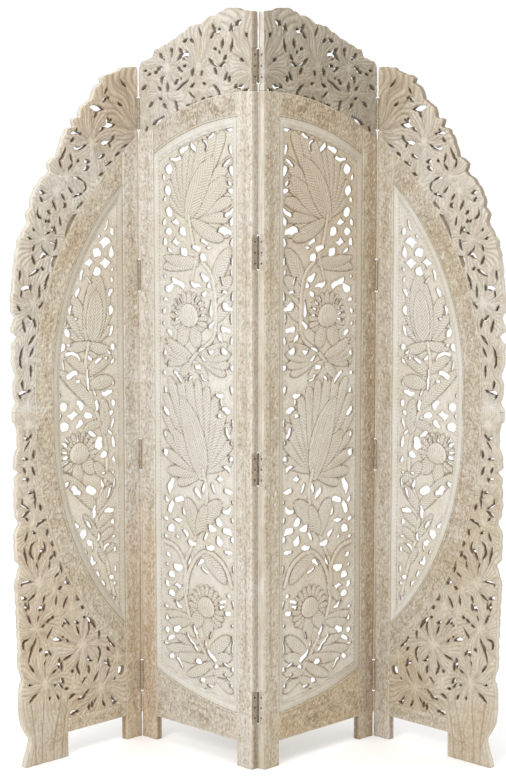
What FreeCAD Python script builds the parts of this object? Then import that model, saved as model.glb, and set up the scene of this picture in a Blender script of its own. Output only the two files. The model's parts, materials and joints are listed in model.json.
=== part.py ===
import FreeCAD, Part
import math
import os

import Sketcher
from FreeCAD import Placement, Rotation, Vector

# Folding screen of four carved wooden panels.
# Frame: +Z up, floor at z = 0, the middle fold on x = 0, the viewer's side towards -Y.
# Every panel is drawn in a frame of its own, with the axis of its hinge at x = 0, y = 0,
# and is then turned about that axis into the zigzag it stands in.

doc = FreeCAD.newDocument("FoldingScreen")
dims = doc.addObject("Spreadsheet::Sheet", "Dims")

DIMS = [
    # panel frame
    ("panel_width", 400.0),
    ("board_thick", 20.0),
    ("stile_width", 50.0),
    ("foot_height", 62.0),
    ("half_gap", 1.6),
    ("axis_offset", 2.4),
    ("fold_angle", 46.0),
    ("total_height", 1830.0),
    # oval ring of rails, drawn about the middle fold with the screen laid flat
    ("oval_half_width", 745.0),
    ("oval_top_rise", 712.0),
    ("oval_top_centre", 930.0),
    ("oval_low_drop", 758.0),
    ("oval_low_centre", 830.0),
    ("oval_split", 880.0),
    ("rail_width", 57.0),
    ("sill_rise", 425.0),
    ("sill_centre", 555.0),
    ("fret_split", 700.0),
    # beading and fret panel, depths from the front face
    ("bead_side", 17.0),
    ("bead_arc", 24.0),
    ("bead_face", 1.0),
    ("fret_face", 6.0),
    ("fret_rear", 16.0),
    ("bead_rear", 19.0),
    ("carve_face", 1.0),
    ("carve_rear", 19.0),
    ("glue_gap", 0.2),
    # pierced lattice
    ("lattice_pitch_x", 52.0),
    ("lattice_pitch_z", 50.0),
    ("lattice_round", 11.5),
    ("lattice_square", 20.0),
    ("lattice_margin", 17.0),
    # outer panel, distances from its hinge axis
    ("trunk_inner", 248.0),
    ("trunk_height", 150.0),
    ("low_rail_top", 97.0),
    # dowels
    ("dowel_radius", 4.0),
    ("dowel_length", 40.0),
    ("dowel_play", 0.05),
    # butt hinges
    ("hinge_height", 76.0),
    ("leaf_thick", 1.3),
    ("leaf_width", 16.0),
    ("knuckle_radius", 2.2),
    ("knuckle_play", 0.3),
    ("pin_radius", 1.35),
    ("pin_play", 0.05),
    ("pin_head_radius", 2.2),
    ("pin_head_height", 1.8),
    ("screw_head_radius", 3.0),
    ("screw_head_depth", 1.1),
    ("screw_shank_radius", 1.5),
    ("screw_length", 17.0),
    ("screw_play", 0.05),
    ("screw_pitch", 26.0),
    ("middle_hinge_a", 1700.0),
    ("middle_hinge_b", 1262.0),
    ("middle_hinge_c", 741.0),
    ("middle_hinge_d", 153.0),
    ("side_hinge_a", 1592.0),
    ("side_hinge_b", 1190.0),
    ("side_hinge_c", 735.0),
    ("side_hinge_d", 160.0),
]
for row, (alias, number) in enumerate(DIMS, 1):
    dims.set("A%d" % row, alias)
    dims.set("B%d" % row, repr(number))
    dims.setAlias("B%d" % row, alias)
doc.recompute()


def val(alias):
    return float(getattr(dims, alias))


def D(alias):
    return "Dims." + alias


T = val("board_thick")
G = val("half_gap")
W = val("panel_width")
OFF = val("axis_offset")


class Panel:
    """One leaf of the screen: side is -1 left, +1 right; outer panels hang on a side fold."""

    def __init__(self, key, side, outer):
        self.key = key
        self.side = side
        self.outer = outer
        if outer:
            self.face = D("axis_offset")
            self.face_mm = OFF
            self.shift = "(%s + 2 * %s)" % (D("panel_width"), D("half_gap"))
            self.shift_mm = W + 2 * G
        else:
            self.face = "(-%s - %s)" % (D("axis_offset"), D("board_thick"))
            self.face_mm = -OFF - T
            self.shift = "0"
            self.shift_mm = 0.0
        self.nodes = []
        self.dowels = []
        self.holes = {}

    def oval_x(self):
        return "%s%s" % ("-" if self.side > 0 else "", self.shift)


LC = Panel("left_centre", -1, False)
RC = Panel("right_centre", 1, False)
LO = Panel("left_outer", -1, True)
RO = Panel("right_outer", 1, True)

counter = [0]


def fresh(pan, name):
    counter[0] += 1
    return "%s_%s_%d" % (pan.key, name, counter[0])


# ---------------------------------------------------------------- helpers for panel pieces
def box(pan, name, a0, a1, d0, d1, z0, z1):
    """A bar from a0 to a1 away from the hinge axis, d0 to d1 behind the front face."""
    o = doc.addObject("Part::Box", fresh(pan, name))
    o.setExpression("Length", "(%s) - (%s)" % (a1, a0))
    o.setExpression("Width", "(%s) - (%s)" % (d1, d0))
    o.setExpression("Height", "(%s) - (%s)" % (z1, z0))
    o.setExpression("Placement.Base.x", a0 if pan.side > 0 else "-(%s)" % a1)
    o.setExpression("Placement.Base.y", "%s + (%s)" % (pan.face, d0))
    o.setExpression("Placement.Base.z", z0)
    return o


def oval(pan, name, semi_x, semi_z, zc, d0, d1, tall):
    """A solid ellipse standing in the panel's plane, centred on the middle fold."""
    e = doc.addObject("Part::Ellipse", fresh(pan, name + "_edge"))
    rot = Rotation(Vector(1, 0, 0), 90)
    if tall:
        rot = rot.multiply(Rotation(Vector(0, 0, 1), 90))
    e.Placement = Placement(Vector(0, 0, 0), rot)
    e.MajorRadius = 5000.0
    e.setExpression("MajorRadius", semi_z if tall else semi_x)
    e.setExpression("MinorRadius", semi_x if tall else semi_z)
    e.setExpression("Placement.Base.x", pan.oval_x())
    e.setExpression("Placement.Base.y", "%s + (%s)" % (pan.face, d0))
    e.setExpression("Placement.Base.z", zc)
    x = doc.addObject("Part::Extrusion", fresh(pan, name))
    x.Base = e
    x.DirMode = "Custom"
    x.Dir = Vector(0, 1, 0)
    x.setExpression("LengthFwd", "(%s) - (%s)" % (d1, d0))
    x.Solid = True
    return x


def boolean(kind, pan, name, a, b):
    o = doc.addObject("Part::" + kind, fresh(pan, name))
    o.Base = a
    o.Tool = b
    return o


def cut(pan, name, a, b):
    return boolean("Cut", pan, name, a, b)


def common(pan, name, a, b):
    return boolean("Common", pan, name, a, b)


def fuse(pan, name, a, b):
    o = boolean("Fuse", pan, name, a, b)
    o.Refine = True
    return o


def bundle(pan, name, objs):
    o = doc.addObject("Part::Compound", fresh(pan, name))
    o.Links = objs
    return o


def board(pan, name, pts, d0, d1):
    """A flat board sawn to an outline of (distance from the axis, height) points."""
    y0 = pan.face_mm + d0
    vs = [Vector(pan.side * a, y0, z) for a, z in pts]
    solid = Part.Face(Part.makePolygon(vs + [vs[0]])).extrude(Vector(0, d1 - d0, 0))
    o = doc.addObject("Part::Feature", fresh(pan, name))
    o.Shape = solid
    return o


def dowel(pan, axis, a, z, *members):
    """A dowel centred at (a, z) in the middle of the board, along x or z, with its holes."""
    for clear, store in ((False, None), (True, members)):
        c = doc.addObject("Part::Cylinder", fresh(pan, "dowel_hole" if clear else "dowel_pin"))
        extra = " + " + D("dowel_play") if clear else ""
        longer = " + 1" if clear else ""
        half = "(%s%s) / 2" % (D("dowel_length"), longer)
        c.setExpression("Radius", D("dowel_radius") + extra)
        c.setExpression("Height", D("dowel_length") + longer)
        mid = "%s + %s / 2" % (pan.face, D("board_thick"))
        sx = "" if pan.side > 0 else "-"
        if axis == "x":
            c.Placement = Placement(Vector(0, 0, 0), Rotation(Vector(0, 1, 0), 90))
            c.setExpression("Placement.Base.x", "%s(%s) - %s" % (sx, a, half))
            c.setExpression("Placement.Base.z", str(z))
        else:
            c.setExpression("Placement.Base.x", "%s(%s)" % (sx, a))
            c.setExpression("Placement.Base.z", "%s - %s" % (z, half))
        c.setExpression("Placement.Base.y", mid)
        if clear:
            for m in members:
                pan.holes.setdefault(m, []).append(c)
        else:
            pan.dowels.append(c)


def screw_holes(pan, edge, z, member):
    """Three pilot holes for one hinge leaf; edge is the near or far edge of the panel."""
    for step in (-1, 0, 1):
        c = doc.addObject("Part::Cylinder", fresh(pan, "pilot"))
        c.Placement = Placement(Vector(0, 0, 0), Rotation(Vector(0, 1, 0), 90))
        c.setExpression("Radius", "%s + %s" % (D("screw_shank_radius"), D("screw_play")))
        c.setExpression("Height", "%s + 2" % D("screw_length"))
        if edge == "near":
            lo = "%s - 1" % D("half_gap")
        else:
            lo = "%s + %s - %s - 1" % (D("half_gap"), D("panel_width"), D("screw_length"))
        x = "(%s)" % lo if pan.side > 0 else "-(%s) - (%s + 2)" % (lo, D("screw_length"))
        c.setExpression("Placement.Base.x", x)
        # the leaf lies against the face that the barrel is on
        at_front = pan.outer or edge == "far"
        off = "%s / 2" % D("leaf_width")
        y = "%s + %s" % (pan.face, off) if at_front else "%s + %s - %s" % (pan.face, D("board_thick"), off)
        c.setExpression("Placement.Base.y", y)
        c.setExpression("Placement.Base.z", "%s + %d * %s" % (z, step, D("screw_pitch")))
        pan.holes.setdefault(member, []).append(c)


def done(pan, member, shape_obj):
    """Bore the member's dowel and screw holes and enter it as a piece of its panel."""
    holes = pan.holes.get(member, [])
    if holes:
        shape_obj = cut(pan, member + "_bored", shape_obj, bundle(pan, member + "_holes", holes))
    shape_obj.Label = "%s_%s" % (pan.key, member)
    pan.nodes.append(shape_obj)
    return shape_obj


def oval_z_top(q):
    return val("oval_top_centre") + val("oval_top_rise") * math.sqrt(1 - (q / val("oval_half_width")) ** 2)


def oval_z_low(q):
    return val("oval_low_centre") - val("oval_low_drop") * math.sqrt(1 - (q / val("oval_half_width")) ** 2)


RING = "(%s)" % D("rail_width")
SEMI_X = D("oval_half_width")
TOP_Z, TOP_C = D("oval_top_rise"), D("oval_top_centre")
LOW_Z, LOW_C = D("oval_low_drop"), D("oval_low_centre")
THICK = D("board_thick")
NEAR = D("half_gap")
NEAR_IN = "%s + %s" % (D("half_gap"), D("stile_width"))
FAR = "%s + %s" % (D("half_gap"), D("panel_width"))
FAR_IN = "%s + %s - %s" % (D("half_gap"), D("panel_width"), D("stile_width"))

# Crest outline of a middle panel: distance from the fold edge and height, as shares of the
# panel width and the total height.
CREST = [
    (0.000, 0.9330), (0.020, 0.9385), (0.060, 0.9410), (0.110, 0.9430), (0.140, 0.9540),
    (0.190, 0.9560), (0.240, 0.9610), (0.300, 0.9650), (0.360, 0.9710), (0.420, 0.9770),
    (0.470, 0.9825), (0.540, 0.9830), (0.590, 0.9860), (0.620, 0.9910), (0.690, 0.9920),
    (0.740, 0.9965), (0.800, 1.0000), (0.850, 0.9995), (0.900, 0.9970), (0.950, 0.9945),
    (1.000, 0.9950),
]
# Outer border, from the fold edge round to the split of the oval.
BORDER_TOP = [
    (0.000, 0.9330), (0.110, 0.9310), (0.165, 0.9245), (0.235, 0.9210), (0.285, 0.9165),
    (0.265, 0.9100), (0.322, 0.9060), (0.357, 0.8900), (0.390, 0.8835), (0.437, 0.8790),
    (0.465, 0.8630), (0.520, 0.8625), (0.500, 0.8530), (0.560, 0.8480), (0.600, 0.8340),
    (0.635, 0.8140), (0.715, 0.8040), (0.690, 0.7940), (0.762, 0.7830), (0.800, 0.7740),
    (0.838, 0.7600), (0.845, 0.7470), (0.880, 0.7380), (0.860, 0.7290), (0.905, 0.7150),
    (0.940, 0.7040), (0.962, 0.6850), (0.978, 0.6650), (0.985, 0.6460), (0.998, 0.6350),
    (0.998, 0.6130), (0.967, 0.6030), (1.000, 0.5920), (0.998, 0.5860), (0.948, 0.5790),
    (0.995, 0.5700), (0.998, 0.5420), (0.967, 0.5300), (0.990, 0.5180), (0.992, 0.5040),
    (0.968, 0.4930), (0.990, 0.4850),
]
BORDER_LOW = [
    (0.990, 0.4780), (0.985, 0.4680), (0.967, 0.4600), (0.964, 0.4340), (0.995, 0.4190),
    (0.995, 0.4070), (0.962, 0.4000), (0.990, 0.3920), (0.992, 0.3760), (0.997, 0.3560),
    (0.990, 0.3440), (0.962, 0.3300), (0.996, 0.3220), (0.999, 0.3080), (0.994, 0.2840),
    (0.958, 0.2740), (0.996, 0.2560), (0.999, 0.2400), (0.990, 0.2180), (0.988, 0.1900),
    (0.982, 0.1640), (0.986, 0.1420), (0.955, 0.1270), (0.930, 0.1190), (0.956, 0.1140),
    (0.950, 0.1030),
]
TRUNK = [
    (0.955, 1.00), (0.960, 0.92), (0.945, 0.74), (0.918, 0.60), (0.908, 0.50), (0.925, 0.32),
    (0.945, 0.17), (0.960, 0.00),
]

# Solid motifs of the fret, where no lattice is pierced: (distance from the middle fold or the
# side fold, height, radius across, radius up).
LEAFWORK_CENTRE = [
    (205, 1430, 118, 120), (245, 1225, 78, 40), (105, 1215, 50, 70), (218, 1085, 88, 110),
    (130, 985, 80, 60), (285, 985, 52, 50), (215, 820, 120, 140), (270, 690, 52, 40),
    (185, 590, 74, 90), (250, 490, 55, 40), (148, 380, 90, 125), (270, 330, 60, 60),
    (205, 225, 115, 70),
]
LEAFWORK_OUTER = [
    (125, 1085, 66, 120), (150, 985, 40, 50), (110, 945, 40, 70), (150, 920, 32, 40),
    (185, 760, 62, 66), (100, 800, 34, 110), (160, 645, 90, 50), (125, 560, 40, 90),
    (95, 470, 40, 90),
]


def lattice(pan, name, motifs, inside):
    """Round and square piercings on a staggered grid, left out where leafwork stays solid."""
    px, pz = val("lattice_pitch_x"), val("lattice_pitch_z")
    r, sq = val("lattice_round"), val("lattice_square")
    y0 = pan.face_mm + val("fret_face") - 1
    deep = val("fret_rear") - val("fret_face") + 2
    solids = []
    for j in range(0, 64):
        for i in range(0, 18):
            a = 70.0 + px / 2 * i
            z = 90.0 + pz / 2 * j
            if (i + j) % 2:
                continue
            if not inside(a, z):
                continue
            if any(((a - ma) / (ra + 6.0)) ** 2 + ((z - mz) / (rz + 6.0)) ** 2 < 1 for ma, mz, ra, rz in motifs):
                continue
            x = pan.side * a
            if i % 2:
                solids.append(Part.makeCylinder(r, deep, Vector(x, y0, z), Vector(0, 1, 0)))
            else:
                b = Part.makeBox(sq, deep, sq, Vector(-sq / 2, 0, -sq / 2))
                b.Placement = Placement(Vector(x, y0, z), Rotation(Vector(0, 1, 0), 45))
                solids.append(b)
    o = doc.addObject("Part::Feature", fresh(pan, name))
    o.Shape = Part.makeCompound(solids)
    return o, len(solids)


def opening_centre(pan, d0, d1, shrink):
    """Prism of the window between the stiles, the arched rail and the bottom rail."""
    a0, a1 = "%s + %s" % (NEAR_IN, shrink), "%s - %s" % (FAR_IN, shrink)
    up = common(pan, "window_up",
                oval(pan, "window_arch", "%s - %s - %s" % (SEMI_X, RING, shrink), "%s - %s - %s" % (TOP_Z, RING, shrink),
                     TOP_C, d0, d1, False),
                box(pan, "window_up_box", a0, a1, d0, d1, D("fret_split"), "1700"))
    low = common(pan, "window_low",
                 oval(pan, "window_sill", "%s - %s - %s" % (SEMI_X, RING, shrink), "%s - %s" % (D("sill_rise"), shrink),
                      D("sill_centre"), d0, d1, False),
                 box(pan, "window_low_box", a0, a1, d0, d1, "100", D("fret_split")))
    return fuse(pan, "window", up, low)


def opening_outer(pan, d0, d1, shrink):
    """Prism of the window between the fold stile and the arc rails."""
    a0 = "%s + %s" % (NEAR_IN, shrink)
    up = common(pan, "window_up",
                oval(pan, "window_arch", "%s - %s - %s" % (SEMI_X, RING, shrink), "%s - %s - %s" % (TOP_Z, RING, shrink),
                     TOP_C, d0, d1, False),
                box(pan, "window_up_box", a0, "420", d0, d1, D("oval_split"), "1700"))
    low = common(pan, "window_low",
                 oval(pan, "window_sill", "%s - %s - %s" % (SEMI_X, RING, shrink), "%s - %s - %s" % (LOW_Z, RING, shrink),
                      LOW_C, d0, d1, True),
                 box(pan, "window_low_box", a0, "420", d0, d1, "100", D("oval_split")))
    return fuse(pan, "window", up, low)


# ---------------------------------------------------------------- middle panels
def middle_panel(pan):
    # dowels: rails to stiles, crest to rail and stiles
    for z in ("1598", "1625"):
        dowel(pan, "x", NEAR_IN, z, "centre_stile", "top_rail")
    for z in ("1518", "1541"):
        dowel(pan, "x", FAR_IN, z, "fold_stile", "top_rail")
    for z in ("80", "112"):
        dowel(pan, "x", NEAR_IN, z, "centre_stile", "bottom_rail")
    for z in ("90", "150"):
        dowel(pan, "x", FAR_IN, z, "fold_stile", "bottom_rail")
    for q, under in ((28.0, "centre_stile"), (103.0, "top_rail"), (203.0, "top_rail"), (303.0, "top_rail"),
                     (378.0, "fold_stile")):
        dowel(pan, "z", "%g" % q, "%.3f" % oval_z_top(q), under, "crest")
    for alias, member in (("middle_hinge_a", "crest"), ("middle_hinge_b", "centre_stile"),
                          ("middle_hinge_c", "centre_stile"), ("middle_hinge_d", "centre_stile")):
        screw_holes(pan, "near", D(alias), member)
    for alias, member in (("side_hinge_a", "crest"), ("side_hinge_b", "fold_stile"),
                          ("side_hinge_c", "fold_stile"), ("side_hinge_d", "fold_stile")):
        screw_holes(pan, "far", D(alias), member)

    arch = oval(pan, "arch", SEMI_X, TOP_Z, TOP_C, "-1", THICK + " + 1", False)
    above = cut(pan, "above_arch", box(pan, "above_box", "-5", FAR + " + 5", "-1", THICK + " + 1", TOP_C, "1900"), arch)
    for member, a0, a1 in (("centre_stile", NEAR, NEAR_IN), ("fold_stile", FAR_IN, FAR)):
        done(pan, member, cut(pan, member, box(pan, member + "_bar", a0, a1, "0", THICK, "0", "1750"), above))
    ring = cut(pan, "ring", oval(pan, "ring_out", SEMI_X, TOP_Z, TOP_C, "0", THICK, False),
               oval(pan, "ring_in", "%s - %s" % (SEMI_X, RING), "%s - %s" % (TOP_Z, RING), TOP_C, "-1", THICK + " + 1", False))
    done(pan, "top_rail", common(pan, "top_rail", ring,
                                 box(pan, "top_rail_box", NEAR_IN, FAR_IN, "-1", THICK + " + 1", TOP_C, "1750")))
    sill = oval(pan, "sill", "%s - %s" % (SEMI_X, RING), D("sill_rise"), D("sill_centre"), "-1", THICK + " + 1", False)
    done(pan, "bottom_rail", cut(pan, "bottom_rail", box(pan, "bottom_rail_bar", NEAR_IN, FAR_IN, "0", THICK,
                                                         D("foot_height"), "300"), sill))
    # crest board, sawn to its leafy outline and seated on the arch
    H = val("total_height")
    pts = [(G + W - f * W, z * H) for f, z in CREST] + [(G, 1500.0), (G + W, 1400.0)]
    seat = oval(pan, "crest_seat", SEMI_X + " + " + D("glue_gap"), TOP_Z + " + " + D("glue_gap"), TOP_C, "-1",
                THICK + " + 1", False)
    done(pan, "crest", cut(pan, "crest", board(pan, "crest_board", pts, val("carve_face"), val("carve_rear")), seat))
    # fret panel with its piercings
    m = val("lattice_margin")

    def inside(a, z):
        lo, hi = G + val("stile_width") + val("bead_side"), G + W - val("stile_width") - val("bead_side")
        if a < lo + m or a > hi - m:
            return False
        k = val("oval_half_width") - val("rail_width")
        top = val("oval_top_centre") + (val("oval_top_rise") - val("rail_width")) * math.sqrt(1 - (a / k) ** 2)
        low = val("sill_centre") - val("sill_rise") * math.sqrt(1 - (a / k) ** 2)
        return low + val("bead_arc") + m < z < top - val("bead_arc") - m

    holes, n = lattice(pan, "lattice", LEAFWORK_CENTRE, inside)
    done(pan, "fret_panel", cut(pan, "fret", opening_centre(pan, D("fret_face"), D("fret_rear"), D("glue_gap")), holes))
    # beading: two uprights and two arcs on each face
    strips = []
    for d0, d1 in ((D("bead_face"), D("fret_face")), (D("fret_rear"), D("bead_rear"))):
        win = opening_centre(pan, d0, d1, D("glue_gap"))
        inner0, inner1 = "%s + %s" % (NEAR_IN, D("bead_side")), "%s - %s" % (FAR_IN, D("bead_side"))
        strips.append(common(pan, "bead_near", win, box(pan, "bead_near_box", NEAR_IN, inner0, d0, d1, "50", "1700")))
        strips.append(common(pan, "bead_far", win, box(pan, "bead_far_box", inner1, FAR_IN, d0, d1, "50", "1700")))
        b = D("bead_arc")
        top = cut(pan, "bead_top_arc", common(pan, "bead_top_span", win,
                                              box(pan, "bead_top_box", inner0, inner1, d0, d1, "1200", "1700")),
                  oval(pan, "bead_top_in", "%s - %s - %s" % (SEMI_X, RING, b), "%s - %s - %s" % (TOP_Z, RING, b), TOP_C,
                       "%s - 1" % d0, "%s + 1" % d1, False))
        low = cut(pan, "bead_low_arc", common(pan, "bead_low_span", win,
                                              box(pan, "bead_low_box", inner0, inner1, d0, d1, "50", "400")),
                  oval(pan, "bead_low_in", "%s - %s - %s" % (SEMI_X, RING, b), "%s - %s" % (D("sill_rise"), b),
                       D("sill_centre"), "%s - 1" % d0, "%s + 1" % d1, False))
        strips += [top, low]
    done(pan, "beading", bundle(pan, "beading", strips))
    done(pan, "dowels", bundle(pan, "dowels", pan.dowels))


# ---------------------------------------------------------------- outer panels
def trunk_foot(pan):
    """Trunk-shaped outer foot: a sketched outline padded to the board's thickness."""
    body = doc.addObject("PartDesign::Body", fresh(pan, "trunk"))
    sk = body.newObject("Sketcher::SketchObject", fresh(pan, "trunk_outline"))
    sk.AttachmentSupport = [(origin_plane(body, "XZ_Plane"), "")]
    sk.MapMode = "FlatFace"
    s = pan.side
    th = val("trunk_height")
    pts = [(val("trunk_inner"), 0.0), (val("trunk_inner"), th)] + [(G + f * W, z * th) for f, z in TRUNK]
    vs = [Vector(s * a, z, 0) for a, z in pts]
    n = len(vs)
    for i in range(n):
        sk.addGeometry(Part.LineSegment(vs[i], vs[(i + 1) % n]), False)
    for i in range(n):
        sk.addConstraint(Sketcher.Constraint("Coincident", i, 2, (i + 1) % n, 1))
    for i in range(n):
        if i == 0:
            cx = sk.addConstraint(Sketcher.Constraint("DistanceX", -1, 1, 0, 1, vs[0].x))
            sk.setExpression("Constraints[%d]" % cx, ("" if s > 0 else "-") + D("trunk_inner"))
            cy = sk.addConstraint(Sketcher.Constraint("PointOnObject", 0, 1, -1))
        elif i == 1:
            sk.addConstraint(Sketcher.Constraint("Vertical", 0))
            cy = sk.addConstraint(Sketcher.Constraint("DistanceY", 0, 1, 0, 2, th))
            sk.setExpression("Constraints[%d]" % cy, D("trunk_height"))
        else:
            f, zf = TRUNK[i - 2]
            cx = sk.addConstraint(Sketcher.Constraint("DistanceX", -1, 1, i, 1, vs[i].x))
            sk.setExpression("Constraints[%d]" % cx, "%s(%s + %g * %s)" % ("" if s > 0 else "-", D("half_gap"), f, D("panel_width")))
            if zf == 0.0:
                sk.addConstraint(Sketcher.Constraint("PointOnObject", i, 1, -1))
            else:
                cy = sk.addConstraint(Sketcher.Constraint("DistanceY", -1, 1, i, 1, vs[i].y))
                sk.setExpression("Constraints[%d]" % cy, "%g * %s" % (zf, D("trunk_height")))
    sk.AttachmentOffset = Placement(Vector(0, 0, -(pan.face_mm + T)), Rotation())
    sk.setExpression("AttachmentOffset.Base.z", "-(%s + %s)" % (pan.face, D("board_thick")))
    pad = body.newObject("PartDesign::Pad", fresh(pan, "trunk_pad"))
    pad.Profile = sk
    pad.setExpression("Length", D("board_thick"))
    body.Tip = pad
    return body


def origin_plane(body, role):
    for f in body.Origin.OriginFeatures:
        if f.Role == role:
            return f
    raise ValueError(role)


def outer_panel(pan):
    s_mm = pan.shift_mm
    for z in ("1440", "1465"):
        dowel(pan, "x", NEAR_IN, z, "fold_stile", "upper_arc_rail")
    for z in ("264", "290"):
        dowel(pan, "x", NEAR_IN, z, "fold_stile", "lower_arc_rail")
    # arc rails to each other at the split, in the middle of the rail
    ring_mid = val("oval_half_width") - val("rail_width") / 2 - s_mm
    for da in (-15.0, 13.0):
        dowel(pan, "z", "%g" % (ring_mid + da), D("oval_split"), "upper_arc_rail", "lower_arc_rail")
    # border boards to the rails, the stile, the foot and each other
    dowel(pan, "z", "28", "%.3f" % oval_z_top(28.0 + s_mm), "fold_stile", "upper_border")
    dowel(pan, "z", "120", "%.3f" % oval_z_top(120.0 + s_mm), "upper_arc_rail", "upper_border")
    for z in (1250.0, 1050.0):
        q = val("oval_half_width") * math.sqrt(1 - ((z - val("oval_top_centre")) / val("oval_top_rise")) ** 2)
        dowel(pan, "x", "%.3f" % (q - s_mm), "%g" % z, "upper_arc_rail", "upper_border")
    for z in (700.0, 540.0):
        q = val("oval_half_width") * math.sqrt(1 - ((val("oval_low_centre") - z) / val("oval_low_drop")) ** 2)
        dowel(pan, "x", "%.3f" % (q - s_mm), "%g" % z, "lower_arc_rail", "lower_border")
    dowel(pan, "z", "160", "%.3f" % oval_z_low(160.0 + s_mm), "lower_arc_rail", "lower_border")
    dowel(pan, "z", "366", D("oval_split"), "upper_border", "lower_border")
    for a in ("290", "350"):
        dowel(pan, "z", a, D("trunk_height"), "lower_border", "trunk_foot")
    dowel(pan, "x", NEAR_IN, "80", "fold_stile", "bottom_rail")
    dowel(pan, "x", D("trunk_inner"), "80", "bottom_rail", "trunk_foot")
    for a in ("110", "190"):
        dowel(pan, "z", a, D("low_rail_top"), "bottom_rail", "lower_border")
    dowel(pan, "x", NEAR_IN, "165", "fold_stile", "lower_border")
    for alias, member in (("side_hinge_a", "upper_border"), ("side_hinge_b", "fold_stile"),
                          ("side_hinge_c", "fold_stile"), ("side_hinge_d", "fold_stile")):
        screw_holes(pan, "near", D(alias), member)

    arch = oval(pan, "arch", SEMI_X, TOP_Z, TOP_C, "-1", THICK + " + 1", False)
    above = cut(pan, "above_arch", box(pan, "above_box", "-5", "70", "-1", THICK + " + 1", TOP_C, "1900"), arch)
    done(pan, "fold_stile", cut(pan, "fold_stile", box(pan, "fold_stile_bar", NEAR, NEAR_IN, "0", THICK, "0", "1700"), above))
    ring = cut(pan, "ring_up", oval(pan, "ring_up_out", SEMI_X, TOP_Z, TOP_C, "0", THICK, False),
               oval(pan, "ring_up_in", "%s - %s" % (SEMI_X, RING), "%s - %s" % (TOP_Z, RING), TOP_C, "-1", THICK + " + 1", False))
    done(pan, "upper_arc_rail", common(pan, "upper_arc_rail", ring,
                                       box(pan, "upper_arc_box", NEAR_IN, "420", "-1", THICK + " + 1", D("oval_split"), "1750")))
    ring = cut(pan, "ring_low", oval(pan, "ring_low_out", SEMI_X, LOW_Z, LOW_C, "0", THICK, True),
               oval(pan, "ring_low_in", "%s - %s" % (SEMI_X, RING), "%s - %s" % (LOW_Z, RING), LOW_C, "-1", THICK + " + 1", True))
    done(pan, "lower_arc_rail", common(pan, "lower_arc_rail", ring,
                                       box(pan, "lower_arc_box", NEAR_IN, "420", "-1", THICK + " + 1", "100", D("oval_split"))))
    # leafy border boards outside the oval
    H = val("total_height")
    c0, c1 = val("carve_face"), val("carve_rear")
    gap = val("glue_gap")
    pts = [(G + f * W, z * H) for f, z in BORDER_TOP] + [(G + 0.99 * W, val("oval_split")), (290.0, val("oval_split")),
                                                        (200.0, 1200.0), (G, 1350.0)]
    seat = oval(pan, "border_seat_up", SEMI_X + " + " + D("glue_gap"), TOP_Z + " + " + D("glue_gap"), TOP_C, "-1",
                THICK + " + 1", False)
    done(pan, "upper_border", cut(pan, "upper_border", board(pan, "upper_border_board", pts, c0, c1), seat))
    edge = G + val("stile_width") + gap
    base = val("low_rail_top") + gap
    foot = val("trunk_height") + gap
    pts = [(290.0, val("oval_split") - gap), (G + 0.99 * W, val("oval_split") - gap)] + [(G + f * W, z * H) for f, z in BORDER_LOW]
    pts += [(G + 0.95 * W, foot), (val("trunk_inner") - gap, foot), (val("trunk_inner") - gap, base), (edge, base), (edge, 320.0)]
    seat = oval(pan, "border_seat_low", SEMI_X + " + " + D("glue_gap"), LOW_Z + " + " + D("glue_gap"), LOW_C, "-1",
                THICK + " + 1", True)
    done(pan, "lower_border", cut(pan, "lower_border", board(pan, "lower_border_board", pts, c0, c1), seat))
    done(pan, "trunk_foot", trunk_foot(pan))
    done(pan, "bottom_rail", box(pan, "bottom_rail_bar", NEAR_IN, D("trunk_inner"), "0", THICK, D("foot_height"),
                                 D("low_rail_top")))
    m = val("lattice_margin")

    def inside(a, z):
        if a < G + val("stile_width") + val("bead_side") + m:
            return False
        k = val("rail_width") + val("bead_arc") + m
        if z > val("oval_split"):
            u = (z - val("oval_top_centre")) / (val("oval_top_rise") - k)
        else:
            u = (z - val("oval_low_centre")) / (val("oval_low_drop") - k)
        v = (a + s_mm) / (val("oval_half_width") - k)
        return u * u + v * v < 1

    holes, n = lattice(pan, "lattice", LEAFWORK_OUTER, inside)
    done(pan, "fret_panel", cut(pan, "fret", opening_outer(pan, D("fret_face"), D("fret_rear"), D("glue_gap")), holes))
    strips = []
    for d0, d1 in ((D("bead_face"), D("fret_face")), (D("fret_rear"), D("bead_rear"))):
        win = opening_outer(pan, d0, d1, D("glue_gap"))
        inner = "%s + %s" % (NEAR_IN, D("bead_side"))
        strips.append(common(pan, "bead_near", win, box(pan, "bead_near_box", NEAR_IN, inner, d0, d1, "50", "1700")))
        b = D("bead_arc")
        strips.append(cut(pan, "bead_up_arc", common(pan, "bead_up_span", win,
                                                     box(pan, "bead_up_box", inner, "420", d0, d1, D("oval_split"), "1700")),
                          oval(pan, "bead_up_in", "%s - %s - %s" % (SEMI_X, RING, b), "%s - %s - %s" % (TOP_Z, RING, b), TOP_C,
                               "%s - 1" % d0, "%s + 1" % d1, False)))
        strips.append(cut(pan, "bead_low_arc", common(pan, "bead_low_span", win,
                                                      box(pan, "bead_low_box", inner, "420", d0, d1, "50", D("oval_split"))),
                          oval(pan, "bead_low_in", "%s - %s - %s" % (SEMI_X, RING, b), "%s - %s - %s" % (LOW_Z, RING, b), LOW_C,
                               "%s - 1" % d0, "%s + 1" % d1, True)))
    done(pan, "beading", bundle(pan, "beading", strips))
    done(pan, "dowels", bundle(pan, "dowels", pan.dowels))


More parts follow.
